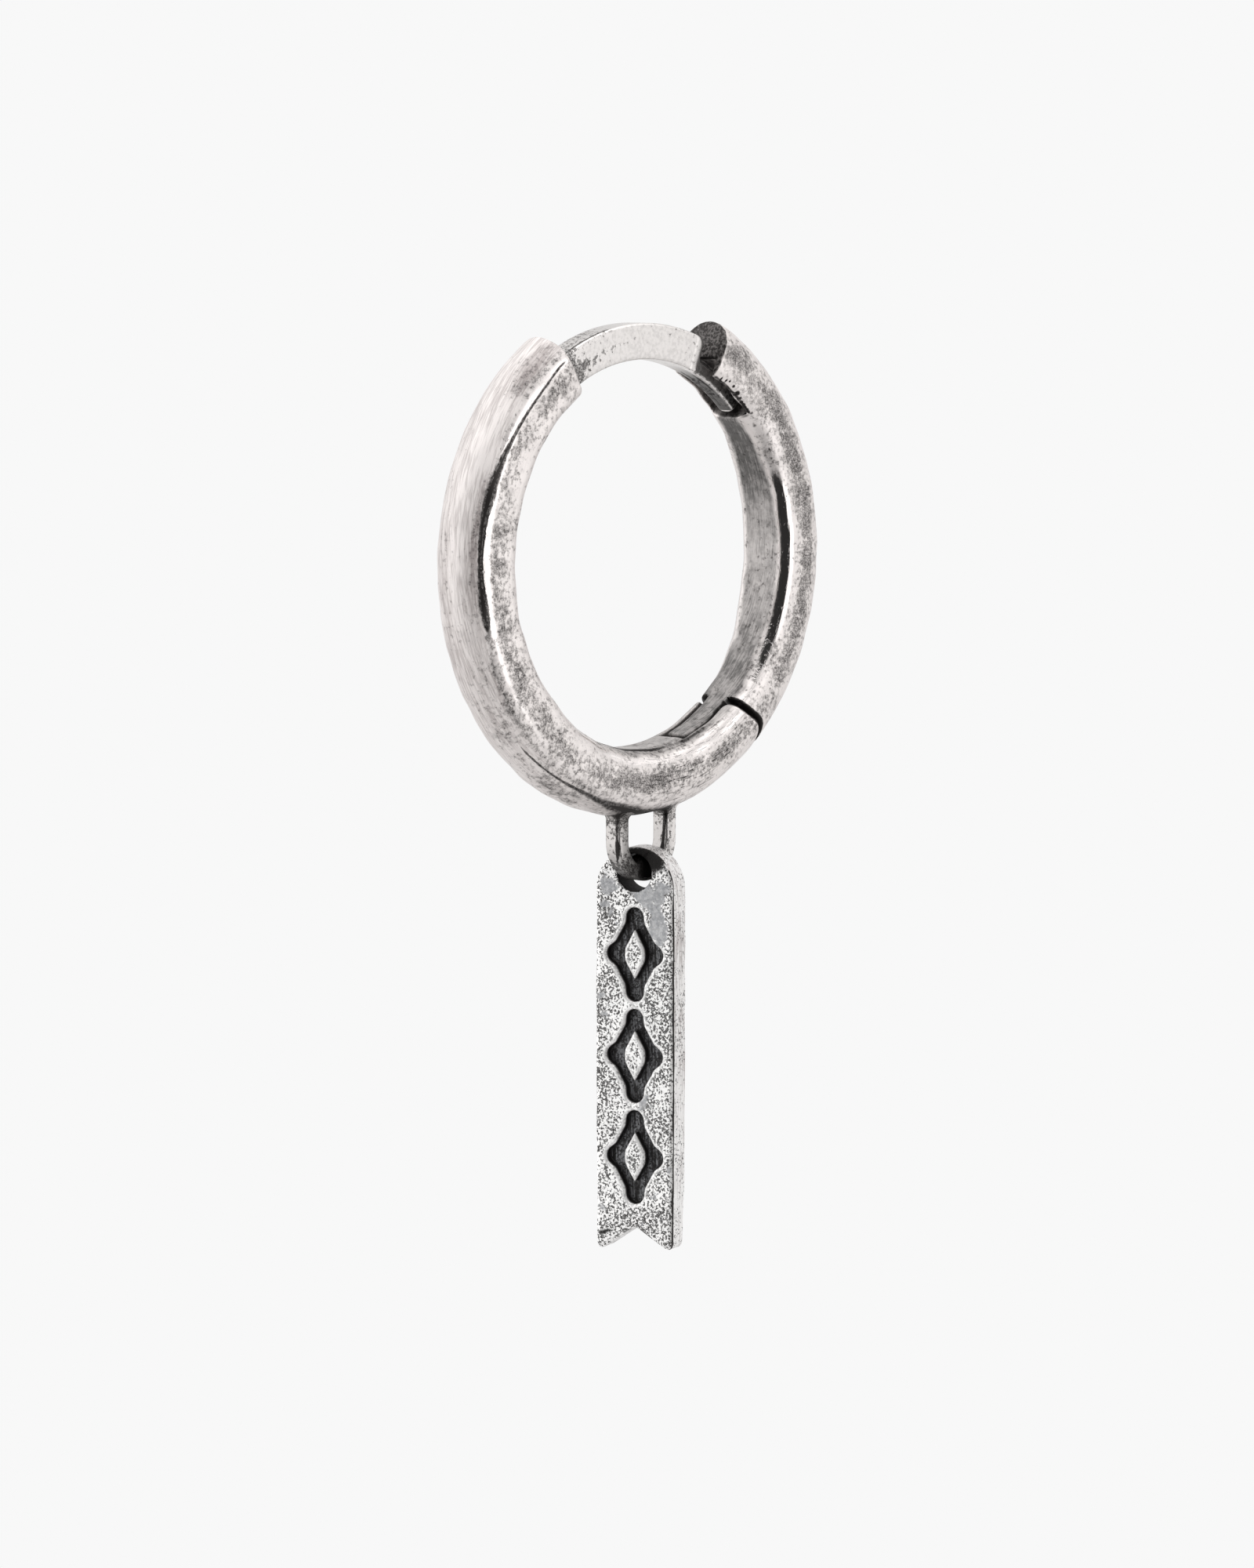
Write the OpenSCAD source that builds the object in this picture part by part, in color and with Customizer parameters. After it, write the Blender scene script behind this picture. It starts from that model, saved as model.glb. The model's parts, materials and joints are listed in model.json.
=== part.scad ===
// Huggie earring: a hinged hoop that clips round the ear lobe, with a swallow-tail drop under it.
// It is closed and hangs. The hoop stands in the XZ plane and its axis runs along Y.
// The origin is the middle of the ear post at the top, where the earring hangs in the lobe.
// Angles round the hoop run from +X towards +Z. The front arm is on the -X side.

/* [Hoop] */
// Outer radius, to the crown of the half-round outside
hoop_r = 7.0; // [6.95:0.01:7.1]
// Inner radius
inner_r = 5.16; // [5.1:0.01:5.2]
// Width along the hoop's axis
hoop_w = 1.76; // [1.72:0.02:1.9]
// Rounding of the two inner edges
edge_r = 0.36; // [0.2:0.02:0.4]
// Angle at which the front arm ends and the bare ear post begins
front_end_a = 121; // [118:1:126]
// Angle at which the free end of the rear arm stops
rear_end_a = 64; // [62:0.5:65]

/* [Ear post] */
// Inner radius of the post's curve
post_in_r = 5.3; // [5.28:0.01:5.35]
// Outer radius of the post's curve
post_out_r = 6.28; // [6.1:0.02:6.4]
// Width of the post
post_w = 0.78; // [0.7:0.02:0.84]
// Middle of the post and of the hinge tongue along the hoop's axis
mid_y = -0.08; // [-0.1:0.01:0.02]
// Angle at which the thick post steps down to its tip
shoulder_a = 68.5; // [67:0.5:72]
// Angle at which the tip ends
tip_a = 45.6; // [45.5:0.1:50]
// Thickness of the tip
tip_t = 0.4; // [0.35:0.01:0.45]
// Width of the tip
tip_w = 0.6; // [0.5:0.02:0.66]

/* [Catch slot] */
// Width of the slot in the rear arm that takes the tip
catch_w = 1.14; // [1.0:0.02:1.2]
// Outer radius of the slot
catch_r = 5.87; // [5.8:0.01:5.95]
// Angle at which the slot ends
catch_a = 44.6; // [44:0.1:45]

/* [Hinge] */
// Radius at which the pin sits
pin_r = 6.25; // [6.22:0.01:6.28]
// Angle at which the pin sits
pin_a = -55.5; // [-57:0.5:-54]
// Diameter of the pin
pin_d = 0.4; // [0.3:0.02:0.44]
// Radius of the rounded ends of the front cheeks
nose_r = 0.7; // [0.66:0.01:0.71]
// Gap between the cheeks and the hollow end of the rear arm
nose_gap = 0.12; // [0.11:0.01:0.15]
// Width of the tongue between the cheeks
tongue_w = 0.7; // [0.6:0.02:0.72]
// Gap on each side of the tongue
tongue_gap = 0.04; // [0.03:0.01:0.06]
// Radius of the tongue's barrel round the pin
barrel_r = 0.66; // [0.6:0.01:0.68]
// Thickness of the leaf at its free end
leaf_t = 0.44; // [0.36:0.02:0.5]
// Angle at which the leaf ends
leaf_a = -71.5; // [-72:0.1:-68]
// Angle at which the pocket for the leaf ends
pocket_a = -73.4; // [-75:0.1:-73]

/* [Bail] */
// Place of the bail along X
bail_x = 0.33; // [0.2:0.01:0.4]
// Distance between the middles of the two legs
bail_span = 1.86; // [1.8:0.02:1.96]
// Thickness of the wire across the legs
wire_t = 0.36; // [0.3:0.02:0.38]
// Width of the wire along the hoop's axis
wire_w = 0.5; // [0.4:0.02:0.52]
// Rounding of the wire's edges
wire_edge_r = 0.12; // [0.1:0.01:0.14]
// Depth of the bail below the hoop
bail_drop = 1.78; // [1.7:0.02:1.9]

/* [Drop] */
// Width of the drop
drop_w = 2.32; // [2.2:0.02:2.4]
// Thickness of the drop
drop_t = 0.86; // [0.7:0.02:0.88]
// Length of the drop
drop_len = 10.94; // [10:0.1:12]
// Turn of the drop in its bail, away from the front
drop_turn = 18; // [10:1:19]
// Diameter of the hole
hole_d = 1.0; // [0.96:0.02:1.1]
// Height of the swallow tail's notch
notch_h = 0.73; // [0.5:0.01:1.0]
// Depth of the sunk ornaments
sunk_t = 0.28; // [0.1:0.02:0.36]
// Number of sunk ornaments
ornaments = 3; // [1:1:3]
// Distance between ornaments
ornament_pitch = 2.78; // [2.7:0.01:2.8]

/* [Hidden] */
$fn = 96;

crown_r = hoop_w / 2;
hoop_z = -(post_in_r + post_out_r) / 2;
hoop_bottom_z = hoop_z - hoop_r;
far = 4;
inside_cut = 0.5;

// The cheeks' outline round the pin: where its arc meets the straight runs outside and inside.
nose_out_a = 60;
nose_in_a = -32;
nose_reach_a = 7;
cheek_cut_low = 0.3;
pin_clear = 0.04;
pin_seat_gap = 0.02;
pin_bite = 0.2;
barrel_gap = 0.2;
barrel_root_a = 200;
leaf_gap = 0.1;
post_root_a = 5;
past_a = 1;

bail_r = bail_span / 2;
bail_centre_z = hoop_bottom_z - bail_drop + wire_t / 2 + bail_r;
bail_root = 0.5;

hole_above_wire = 0.05;
wire_mid_z = bail_centre_z - bail_r;
hole_z = wire_mid_z + hole_above_wire;
rim_t = 0.19;
drop_top_z = hole_z + hole_d / 2 + rim_t;

ball_r = 0.27;
bar_w = 0.34;
lozenge_w = 1.16;
lozenge_h = 2.04;
first_ornament = 2.93;

// A point at radius r and angle a round the hoop, seen from the pin: outwards, then towards the rear arm.
function from_pin(r, a) = [r * cos(a - pin_a) - pin_r, r * sin(a - pin_a)];
// A point on a circle round the pin; the angle runs from the rear arm's side to the outside.
function round_pin(r, a) = [r * sin(a), r * cos(a)];
// The direction of that circle's tangent.
function along(a) = [cos(a), -sin(a)];

// Shapes are drawn flat in the hoop's plane and stood up into XZ here.
module in_hoop() {
    translate([0, 0, hoop_z])
        rotate([90, 0, 0])
            children();
}

// A flat shape made w thick about the plane at y.
module slab(w, y) {
    translate([0, 0, -y])
        linear_extrude(height = w, center = true)
            children();
}

// A section swept round the hoop from angle a0 to angle a1.
module swept(a0, a1) {
    rotate_extrude(start = a0, angle = a1 - a0)
        children();
}

module at_pin() {
    rotate(pin_a)
        translate([pin_r, 0])
            children();
}

// Section of the hoop: flat inside with soft edges, half-round outside.
module band_section() {
    translate([hoop_r - crown_r, 0])
        circle(crown_r);
    translate([inner_r + edge_r, -crown_r])
        square([hoop_r - crown_r - inner_r - edge_r, hoop_w]);
    translate([inner_r, edge_r - crown_r])
        square([hoop_r - crown_r - inner_r, hoop_w - 2 * edge_r]);
    for (side = [-1, 1])
        translate([inner_r + edge_r, side * (crown_r - edge_r)])
            circle(edge_r);
}

// A rectangular section from radius r0 to r1, w wide about the plane at y.
module bar_section(r0, r1, w, y) {
    translate([r0, -y - w / 2])
        square([r1 - r0, w]);
}

// All that lies on the front side of a cheek end of radius r.
module cheek_side(r) {
    outer = round_pin(r, nose_out_a);
    outer_far = outer + far * along(nose_out_a);
    inner = round_pin(r, nose_in_a);
    inner_far = inner - far * along(nose_in_a);
    circle(r);
    polygon([outer, outer_far, [outer_far[0], -far], [inner_far[0], -far], inner_far, inner]);
}

// What is cut from the front hoop past its rounded cheek ends.
module past_cheeks() {
    difference() {
        translate([-far / 2, -cheek_cut_low])
            square([far, far]);
        cheek_side(nose_r);
    }
}

// What is cut from the rear arm beside its tongue, so that its hollow end turns round the cheeks.
module hollow_end() {
    r = nose_r + nose_gap;
    inner = round_pin(r, nose_in_a);
    inner_far = inner - far * along(nose_in_a);
    circle(r);
    polygon([[0, 0], [far, 0], [far, -far], [inner_far[0], -far], inner_far, inner]);
}

// The line of the leaf's outside: from the barrel to the leaf's end, moved outwards by gap.
function leaf_line() = from_pin(inner_r + leaf_t, leaf_a) - round_pin(barrel_r, barrel_root_a);
function leaf_outwards() = [-leaf_line()[1], leaf_line()[0]] / norm(leaf_line());
function leaf_root(gap) = round_pin(barrel_r, barrel_root_a) + gap * leaf_outwards();
function leaf_end(gap, a) = from_pin(inner_r + leaf_t, a) + gap * leaf_outwards();

// What is cut from the rear arm outside the tongue.
module outside_tongue() {
    root = leaf_root(0);
    tip = leaf_end(0, leaf_a);
    tip_far = tip + (tip - root);
    difference() {
        polygon([tip_far, root, [0, 0], [far, 0], [far, tip_far[1]]]);
        circle(barrel_r);
    }
}

// The slot in the front hoop in which the tongue turns.
module tongue_slot() {
    circle(barrel_r + barrel_gap);
    translate([-far, 0])
        square([2 * far, far]);
    polygon([[0, 0], leaf_root(leaf_gap), leaf_end(leaf_gap, pocket_a),
        from_pin(inner_r - inside_cut, pocket_a), [-far / 2, 0]]);
}

// The bare post that goes through the lobe, stepped down to a thin tip.
module ear_post() {
    difference() {
        swept(tip_a, front_end_a + post_root_a)
            bar_section(post_in_r, post_out_r, post_w, mid_y);
        swept(tip_a - past_a, shoulder_a)
            bar_section(post_in_r + tip_t, hoop_r, 2 * hoop_w, 0);
        for (side = [-1, 1])
            swept(tip_a - past_a, shoulder_a)
                bar_section(inner_r - inside_cut, hoop_r, hoop_w, mid_y + side * (tip_w + hoop_w) / 2);
    }
}

module wire_section() {
    flat_t = wire_t - 2 * wire_edge_r;
    flat_w = wire_w - 2 * wire_edge_r;
    square([wire_t, flat_w], center = true);
    square([flat_t, wire_w], center = true);
    for (i = [-1, 1], j = [-1, 1])
        translate([i * flat_t / 2, j * flat_w / 2])
            circle(wire_edge_r);
}

// The soldered wire loop that carries the drop.
module bail() {
    translate([bail_x, 0, bail_centre_z]) {
        for (side = [-1, 1])
            translate([side * bail_r, 0, 0])
                linear_extrude(height = hoop_bottom_z + bail_root - bail_centre_z)
                    wire_section();
        rotate([90, 0, 0])
            rotate_extrude(start = 180, angle = 180)
                translate([bail_r, 0])
                    wire_section();
    }
}

module front_hoop() {
    color([0.8, 0.78, 0.76])
        difference() {
            union() {
                in_hoop()
                    swept(front_end_a, 360 + pin_a + nose_reach_a)
                        band_section();
                in_hoop()
                    ear_post();
                bail();
            }
            in_hoop()
                slab(2 * hoop_w, 0)
                    at_pin()
                        past_cheeks();
            in_hoop()
                slab(tongue_w + 2 * tongue_gap, mid_y)
                    at_pin()
                        tongue_slot();
            in_hoop()
                slab(tongue_w + 2 * (tongue_gap + pin_bite + pin_seat_gap), mid_y)
                    at_pin()
                        circle(pin_d / 2 + pin_seat_gap);
        }
}

module rear_arm() {
    color([0.74, 0.72, 0.7])
        in_hoop()
            difference() {
                swept(leaf_a, rear_end_a)
                    band_section();
                for (side = [-1, 1])
                    slab(hoop_w, mid_y + side * (tongue_w + hoop_w) / 2)
                        at_pin()
                            hollow_end();
                slab(2 * hoop_w, 0)
                    at_pin()
                        outside_tongue();
                slab(2 * hoop_w, 0)
                    at_pin()
                        circle(pin_d / 2 + pin_clear);
                swept(catch_a, rear_end_a + past_a)
                    bar_section(inner_r - inside_cut, catch_r, catch_w, mid_y);
            }
}

module hinge_pin() {
    color([0.6, 0.6, 0.6])
        in_hoop()
            slab(tongue_w + 2 * (tongue_gap + pin_bite), mid_y)
                at_pin()
                    circle(pin_d / 2);
}

// One sunk ornament: a tall lozenge of bars with a ball at each point.
module ornament() {
    half = [lozenge_w / 2, lozenge_h / 2];
    bar_l = norm(half);
    bar_a = atan2(half[1], half[0]);
    for (side = [-1, 1]) {
        translate([side * half[0], 0])
            circle(ball_r);
        translate([0, side * half[1]])
            circle(ball_r);
        for (end = [-1, 1])
            translate([side * half[0] / 2, end * half[1] / 2])
                rotate(-side * end * bar_a)
                    square([bar_l, bar_w], center = true);
    }
}

// Outline of the drop below its top: round head, straight sides, swallow tail.
module drop_outline() {
    half = drop_w / 2;
    translate([0, -half])
        circle(half);
    polygon([[-half, -half], [-half, -drop_len], [0, notch_h - drop_len], [half, -drop_len],
        [half, -half]]);
}

module drop() {
    color([0.7, 0.68, 0.67])
        translate([bail_x, 0, drop_top_z])
            rotate([0, 0, drop_turn - 90])
                rotate([90, 0, 0])
                    difference() {
                        linear_extrude(height = drop_t, center = true)
                            drop_outline();
                        translate([0, hole_z - drop_top_z, 0])
                            cylinder(h = 2 * drop_t, d = hole_d, center = true);
                        for (i = [0 : ornaments - 1])
                            translate([0, -first_ornament - i * ornament_pitch, drop_t / 2 - sunk_t])
                                linear_extrude(height = drop_t)
                                    ornament();
                    }
}

front_hoop();
rear_arm();
hinge_pin();
drop();
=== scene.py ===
# %% [markdown]
# # A silver huggie earring with a swallow-tail drop
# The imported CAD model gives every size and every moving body. This lesson builds the looks around it:
# worn silver with soft edges, darkened hollows and brushed lines. All shapes are worked out with numpy
# as whole arrays, in millimetres, and go into Blender in metres.

# %% Load the frame
import json
import bpy
import numpy as np
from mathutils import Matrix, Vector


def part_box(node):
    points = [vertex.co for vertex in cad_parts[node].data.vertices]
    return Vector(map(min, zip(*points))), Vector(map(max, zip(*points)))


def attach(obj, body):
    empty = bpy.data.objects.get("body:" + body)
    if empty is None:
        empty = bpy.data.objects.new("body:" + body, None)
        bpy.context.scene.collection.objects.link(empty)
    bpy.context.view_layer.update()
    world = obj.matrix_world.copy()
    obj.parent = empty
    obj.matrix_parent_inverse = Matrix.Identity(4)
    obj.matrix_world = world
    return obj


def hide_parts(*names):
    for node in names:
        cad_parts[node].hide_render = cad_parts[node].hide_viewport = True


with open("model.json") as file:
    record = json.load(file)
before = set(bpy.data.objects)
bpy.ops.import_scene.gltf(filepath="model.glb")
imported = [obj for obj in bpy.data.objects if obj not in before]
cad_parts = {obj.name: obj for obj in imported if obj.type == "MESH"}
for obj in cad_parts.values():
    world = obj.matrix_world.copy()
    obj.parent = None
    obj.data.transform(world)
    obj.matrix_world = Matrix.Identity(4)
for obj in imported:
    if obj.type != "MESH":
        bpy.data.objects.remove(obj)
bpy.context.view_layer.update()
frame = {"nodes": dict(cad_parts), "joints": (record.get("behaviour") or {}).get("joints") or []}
MM = 0.001
print("CAD nodes:", sorted(frame["nodes"]))

# %% [markdown]
# ## Sizes
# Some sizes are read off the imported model: the hoop's outer radius and width are the rear arm's reach along
# X and its width along Y, and the drop's hole and its turn are those of the record's joint. The rest are the
# few driving sizes of a hoop like this, in millimetres and in degrees round the hoop, from 0 on the rear
# arm's side to 90 at the top.

# %% Sizes
joints = {j["name"]: j for j in frame["joints"]}
HOOP_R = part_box("rear_arm")[1].x / MM
HOOP_W = (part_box("rear_arm")[1].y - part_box("rear_arm")[0].y) / MM
CROWN_R = HOOP_W / 2
CROWN_MID = HOOP_R - CROWN_R
INNER_R = 5.16
# The inner corners' radius at stops round the hoop: (angle, near side, far side).
INNER_EDGES = np.array([
    (0, 0.36, 0.36), (20, 0.38, 0.45), (36, 0.55, 0.7), (64, 0.68, 0.76), (120, 0.36, 0.36),
    (228, 0.36, 0.36), (252, 0.6, 0.45), (276, 0.64, 0.5), (290, 0.54, 0.5), (306, 0.54, 0.62),
    (318, 0.6, 0.72), (332, 0.45, 0.6), (345, 0.36, 0.38), (360, 0.36, 0.36)])
# The ear post lies between two radii, with its middle a little towards the near side.
POST_R = (5.3, 6.28)
POST_W = 0.78
MID_Y = -0.08
HOOP_Z = -sum(POST_R) / 2
# The arms' ends at the top of the hoop, and the hinge's pin.
FRONT_END = 121.0
REAR_END = 64.0
PIN_R = 6.25
PIN_TURN = -55.5
print(f"hoop {2 * HOOP_R:.2f} mm across and {HOOP_W:.2f} mm wide, centre {-HOOP_Z:.2f} mm below the post")

# %% [markdown]
# ## How the soldered and slotted pieces are made
# A hoop arm is a profile carried round a circle, but it also has slots, a round cheek end and a soft worn
# edge on every cut. One grid can't have holes, and a bevel on a dense boolean tears. So these pieces are
# described by a distance formula: negative inside the metal, zero on its skin. The formula is worked out
# on a block of points, and each cell of the block that the skin passes through gives one vertex.

# %% Blending distances
def blend_max(a, b, soft):
    """The larger of two distances. Where they differ by less than soft it bulges up by a parabola, which
    rounds the outer edge between two surfaces."""
    return np.maximum(a, b) + np.maximum(soft - np.abs(a - b), 0) ** 2 / (4 * soft)


def blend_min(a, b, soft):
    """The smaller of two distances, with a soft hollow where they meet, like a fillet of solder."""
    return -blend_max(-a, -b, soft)


def slope(field, points, step=0.004):
    """The direction in which the distance grows: its difference over a small step along X, Y and Z."""
    steps = np.eye(3) * step
    return np.stack([(field(points + s) - field(points - s)) / (2 * step) for s in steps], axis=-1)


print(f"two faces blended over 0.1 mm round their corner off by {blend_max(0.0, 0.0, 0.1):.3f} mm")

# %% Points and faces of a skin
def cell_points(values, axes):
    """One point for each cell that the skin passes through: the mean of the places where the cell's edges
    cross zero. Along an edge the distance is taken as straight, so it crosses at v0 / (v0 - v1)."""
    shape = [n - 1 for n in values.shape]
    total, count = np.zeros(shape + [3]), np.zeros(shape)
    for axis in range(3):
        low = [slice(None)] * 3
        high = [slice(None)] * 3
        low[axis], high[axis] = slice(None, -1), slice(1, None)
        v0, v1 = values[tuple(low)], values[tuple(high)]
        crossed = (v0 < 0) != (v1 < 0)
        share = np.where(crossed, v0 / np.where(crossed, v0 - v1, 1), 0)
        grids = [a[:-1] if i == axis else a for i, a in enumerate(axes)]
        place = np.stack(np.meshgrid(*grids, indexing="ij"), axis=-1)
        width = np.diff(axes[axis]).reshape([-1 if i == axis else 1 for i in range(3)])
        place[..., axis] += share * width
        place *= crossed[..., None]
        first, second = [i for i in range(3) if i != axis]
        for near in (0, 1):
            for side in (0, 1):
                part = [slice(None)] * 3
                part[first] = slice(near, near + shape[first])
                part[second] = slice(side, side + shape[second])
                total += place[tuple(part)]
                count += crossed[tuple(part)]
    return total, count


def cell_quads(values, index):
    """A four-sided face round each inner edge of the block that crosses zero, through the points of the
    four cells that share the edge, turned so that it faces the side where the distance is positive."""
    quads = []
    for axis in range(3):
        first, second = (axis + 1) % 3, (axis + 2) % 3
        low = [slice(1, -1)] * 3
        high = [slice(1, -1)] * 3
        low[axis], high[axis] = slice(None, -1), slice(1, None)
        inside0, inside1 = values[tuple(low)] < 0, values[tuple(high)] < 0
        ring = []
        for back_first, back_second in ((1, 1), (0, 1), (0, 0), (1, 0)):
            part = [slice(None)] * 3
            for along, back in ((first, back_first), (second, back_second)):
                part[along] = slice(None, -1) if back else slice(1, None)
            ring.append(index[tuple(part)])
        ring = np.stack(ring, axis=-1)
        quads.append(ring[inside0 & ~inside1])
        quads.append(ring[~inside0 & inside1][:, ::-1])
    return np.concatenate(quads)


# %% Skin
# The furthest that one step of Newton may move a point.
FURTHEST = 0.03


def skin(field, axes, place):
    """Points, faces and normals of the closed skin of a distance formula. The axes are the block's own
    coordinates, and place turns them into millimetres. Each point then moves onto the skin by two
    steps of Newton: against the slope, by the distance over the slope's length."""
    values = field(place(np.stack(np.meshgrid(*axes, indexing="ij"), axis=-1)))
    total, count = cell_points(values, axes)
    used = count > 0
    index = np.full(used.shape, -1)
    index[used] = np.arange(used.sum())
    points = place(total[used] / count[used][:, None])
    for _ in range(2):
        g = slope(field, points)
        move = -field(points)[:, None] * g / np.maximum((g * g).sum(-1, keepdims=True), 0.2)
        points = points + np.clip(move, -FURTHEST, FURTHEST)
    normals = slope(field, points)
    normals /= np.linalg.norm(normals, axis=-1, keepdims=True)
    return points, cell_quads(values, index), normals


def spaced(*stops):
    """A line of block coordinates from stops (start, step), (next start, step) ... (end, None)."""
    runs = []
    for (start, step), (end, _) in zip(stops[:-1], stops[1:]):
        runs.append(np.linspace(start, end, max(2, round(abs(end - start) / step) + 1))[:-1])
    return np.concatenate(runs + [[stops[-1][0]]])


def ball(points):
    """A shape to test the skin on: the distance from the middle less one."""
    return np.linalg.norm(points, axis=-1) - 1


test_axis = spaced((-1.2, 0.1), (1.2, None))
test_points, test_quads, _ = skin(ball, [test_axis] * 3, lambda block: block)
print(f"a test ball has {len(test_quads)} faces and is off by {np.abs(ball(test_points)).max():.1e} mm")

# %% Waves left by the hand
# Size and depth of the waves on the hoop.
FILING = (2.4, 0.016)
RUBBING = (1.1, 0.018)


def uneven(points, size, depth):
    """The small waves that filing and rubbing by hand leave: the mean of sines of the place along a few
    slanted directions, with waves about size long, times depth."""
    directions = np.array([[1, 0.3, 0.2], [-0.4, 1, 0.5], [0.3, -0.6, 1], [0.9, 0.8, -0.7], [-0.7, 0.2, 1.3]])
    shifts = np.array([0.3, 1.9, 4.1, 2.7, 5.2])
    return depth * np.sin(points @ directions.T * (2 * np.pi / size) + shifts).mean(axis=-1)


def by_hand(points):
    """The hand's waves on the hoop: long ones from filing and short ones from rubbing."""
    return uneven(points, *FILING) + uneven(points, *RUBBING)


print(f"the waves on the hoop stay under {FILING[1] + RUBBING[1]:.3f} mm")

# %% [markdown]
# ## From numpy to Blender
# Each piece gets its points, its faces and smooth shading. Where the formula gives exact normals they are
# kept, which makes the reflections run as cleanly as on turned metal. Numbers that a finish needs, such
# as how deep in a hollow a point lies, are stored on the points as attributes.

# %% Put a piece into the scene
def add_piece(name, body, points, faces, normals=None, masks=None):
    """Makes a mesh object in metres from points in millimetres, from arrays of faces with three or four
    corners, and from masks, which are numbers or triples stored on the points. It rides on its body."""
    mesh = bpy.data.meshes.new(name)
    corners = np.concatenate([f.ravel() for f in faces]).astype(np.int32)
    sizes = np.concatenate([np.full(len(f), f.shape[1]) for f in faces])
    starts = np.concatenate([[0], np.cumsum(sizes)[:-1]]).astype(np.int32)
    mesh.vertices.add(len(points))
    mesh.vertices.foreach_set("co", (points * MM).astype(np.float32).ravel())
    mesh.loops.add(len(corners))
    mesh.loops.foreach_set("vertex_index", corners)
    mesh.polygons.add(len(sizes))
    mesh.polygons.foreach_set("loop_start", starts)
    mesh.polygons.foreach_set("use_smooth", np.ones(len(sizes), bool))
    mesh.update(calc_edges=True)
    if mesh.validate():
        print(name, "had faces that Blender had to mend")
    if normals is not None:
        mesh.normals_split_custom_set_from_vertices(normals.astype(np.float32))
    for mask, values in (masks or {}).items():
        kind, field = ("FLOAT", "value") if values.ndim == 1 else ("FLOAT_VECTOR", "vector")
        attribute = mesh.attributes.new(mask, kind, "POINT")
        attribute.data.foreach_set(field, values.astype(np.float32).ravel())
    piece = bpy.data.objects.new(name, mesh)
    bpy.context.scene.collection.objects.link(piece)
    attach(piece, body)
    print(f"{name}: {len(points)} points, {len(sizes)} faces")
    return piece


# %% [markdown]
# ## The hoop's own coordinates
# Everything on the hoop is easiest to say by its angle round the hoop, its distance from the hoop's centre
# and its place along the hoop's axis. The angle runs from the rear arm up over the top. The block that a
# skin is found on follows the same circle, so the faces run round the hoop in even rows.

# %% Hoop coordinates
def on_hoop(block):
    """Points from (angle in degrees, radius, place along the axis): the angle turns the radius in the XZ
    plane about the hoop's centre."""
    turn, radius, y = np.radians(block[..., 0]), block[..., 1], block[..., 2]
    return np.stack([radius * np.cos(turn), y, HOOP_Z + radius * np.sin(turn)], axis=-1)


def hoop_place(points, first=-180.0):
    """(angle, radius, y) of points, with the angle between first and first plus a full turn."""
    x, z = points[..., 0], points[..., 2] - HOOP_Z
    turn = (np.degrees(np.arctan2(z, x)) - first) % 360 + first
    return turn, np.hypot(x, z), points[..., 1]


def past_angle(turn, radius, end):
    """Distance past the flat cut across the hoop at an angle: radius times the sine of the angle left."""
    return radius * np.sin(np.radians(np.clip(turn - end, -90, 90)))


def inner_edge(turn, y):
    """Radius of the inner corners, near side and far side. They are rubbed rounder at the bottom and at both
    ends of the rear arm, and the radius goes straight from stop to stop round the hoop."""
    at, near, far = INNER_EDGES.T
    return np.where(y > 0, np.interp(turn % 360, at, far), np.interp(turn % 360, at, near))


def band(turn, radius, y):
    """Distance from the hoop's profile: a half circle outside, and inside it a rectangle with rounded inner
    corners, which is the distance from a smaller rectangle less the corner's radius."""
    edge = inner_edge(turn, y)
    outer = np.hypot(radius - CROWN_MID, y) - CROWN_R
    over_y = np.abs(y) - (CROWN_R - edge)
    over_r = INNER_R + edge - radius
    corner = np.hypot(np.maximum(over_y, 0), np.maximum(over_r, 0))
    inner = corner + np.minimum(np.maximum(over_y, over_r), 0) - edge
    return np.where(radius > CROWN_MID, outer, inner)


print(f"the profile is {HOOP_R - INNER_R:.2f} mm thick and {HOOP_W:.2f} mm wide")

# %% [markdown]
# ## The hinge
# The front arm ends in two round cheeks, and the rear arm in a hollow end with a tongue between them.
# Their curves are all drawn round the pin, so the formulas use the pin's own plane: outwards from the
# hoop's centre, and along the hoop towards the rear arm.

# %% Hinge coordinates and sizes
# The cheeks' arcs about the pin and the hollow end round them: radius, gap, and angles about the pin.
NOSE_R, NOSE_GAP = 0.7, 0.12
NOSE_SPAN = (-22.0, 60.0)
HOLLOW_SPAN = (-22.0, 90.0)
# The tongue with its gaps on the near and the far side, its barrel, and its leaf with the leaf's pocket.
TONGUE_W, TONGUE_GAP, FAR_GAP = 0.7, 0.04, 0.2
BARREL_R, BARREL_GAP = 0.66, 0.2
LEAF_T, LEAF_END, LEAF_GAP = 0.44, -71.5, 0.1
POCKET_END = -73.4
LEAF_ROOT_TURN = 200.0
# The hinge's cuts are made only between these two angles round the hoop.
HINGE_FROM, HINGE_TO = -95.0, -40.0
# How softly cuts and cheeks are worn.
WORN, NOSE_SOFT = 0.1, 0.3


def pin_plane(points):
    """(outwards, along) of points in the plane at the pin: the hoop's plane turned by the pin's angle."""
    turn = np.radians(PIN_TURN)
    x, z = points[..., 0], points[..., 2] - HOOP_Z
    return x * np.cos(turn) + z * np.sin(turn) - PIN_R, z * np.cos(turn) - x * np.sin(turn)


def in_pin_plane(radius, turn):
    """The same for one place given by its radius and angle round the hoop."""
    turn = np.radians(turn - PIN_TURN)
    return np.array([radius * np.cos(turn) - PIN_R, radius * np.sin(turn)])


def round_end(out, along, radius, first, last):
    """Distance past a round end: an arc about the pin from angle first to last, measured from along towards
    outwards, that runs on as straight lines. The direction is held to the arc's range, and the distance is
    taken along it."""
    turn = np.clip(np.degrees(np.arctan2(out, along)), first, last)
    turn = np.radians(turn)
    return out * np.sin(turn) + along * np.cos(turn) - radius


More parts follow.
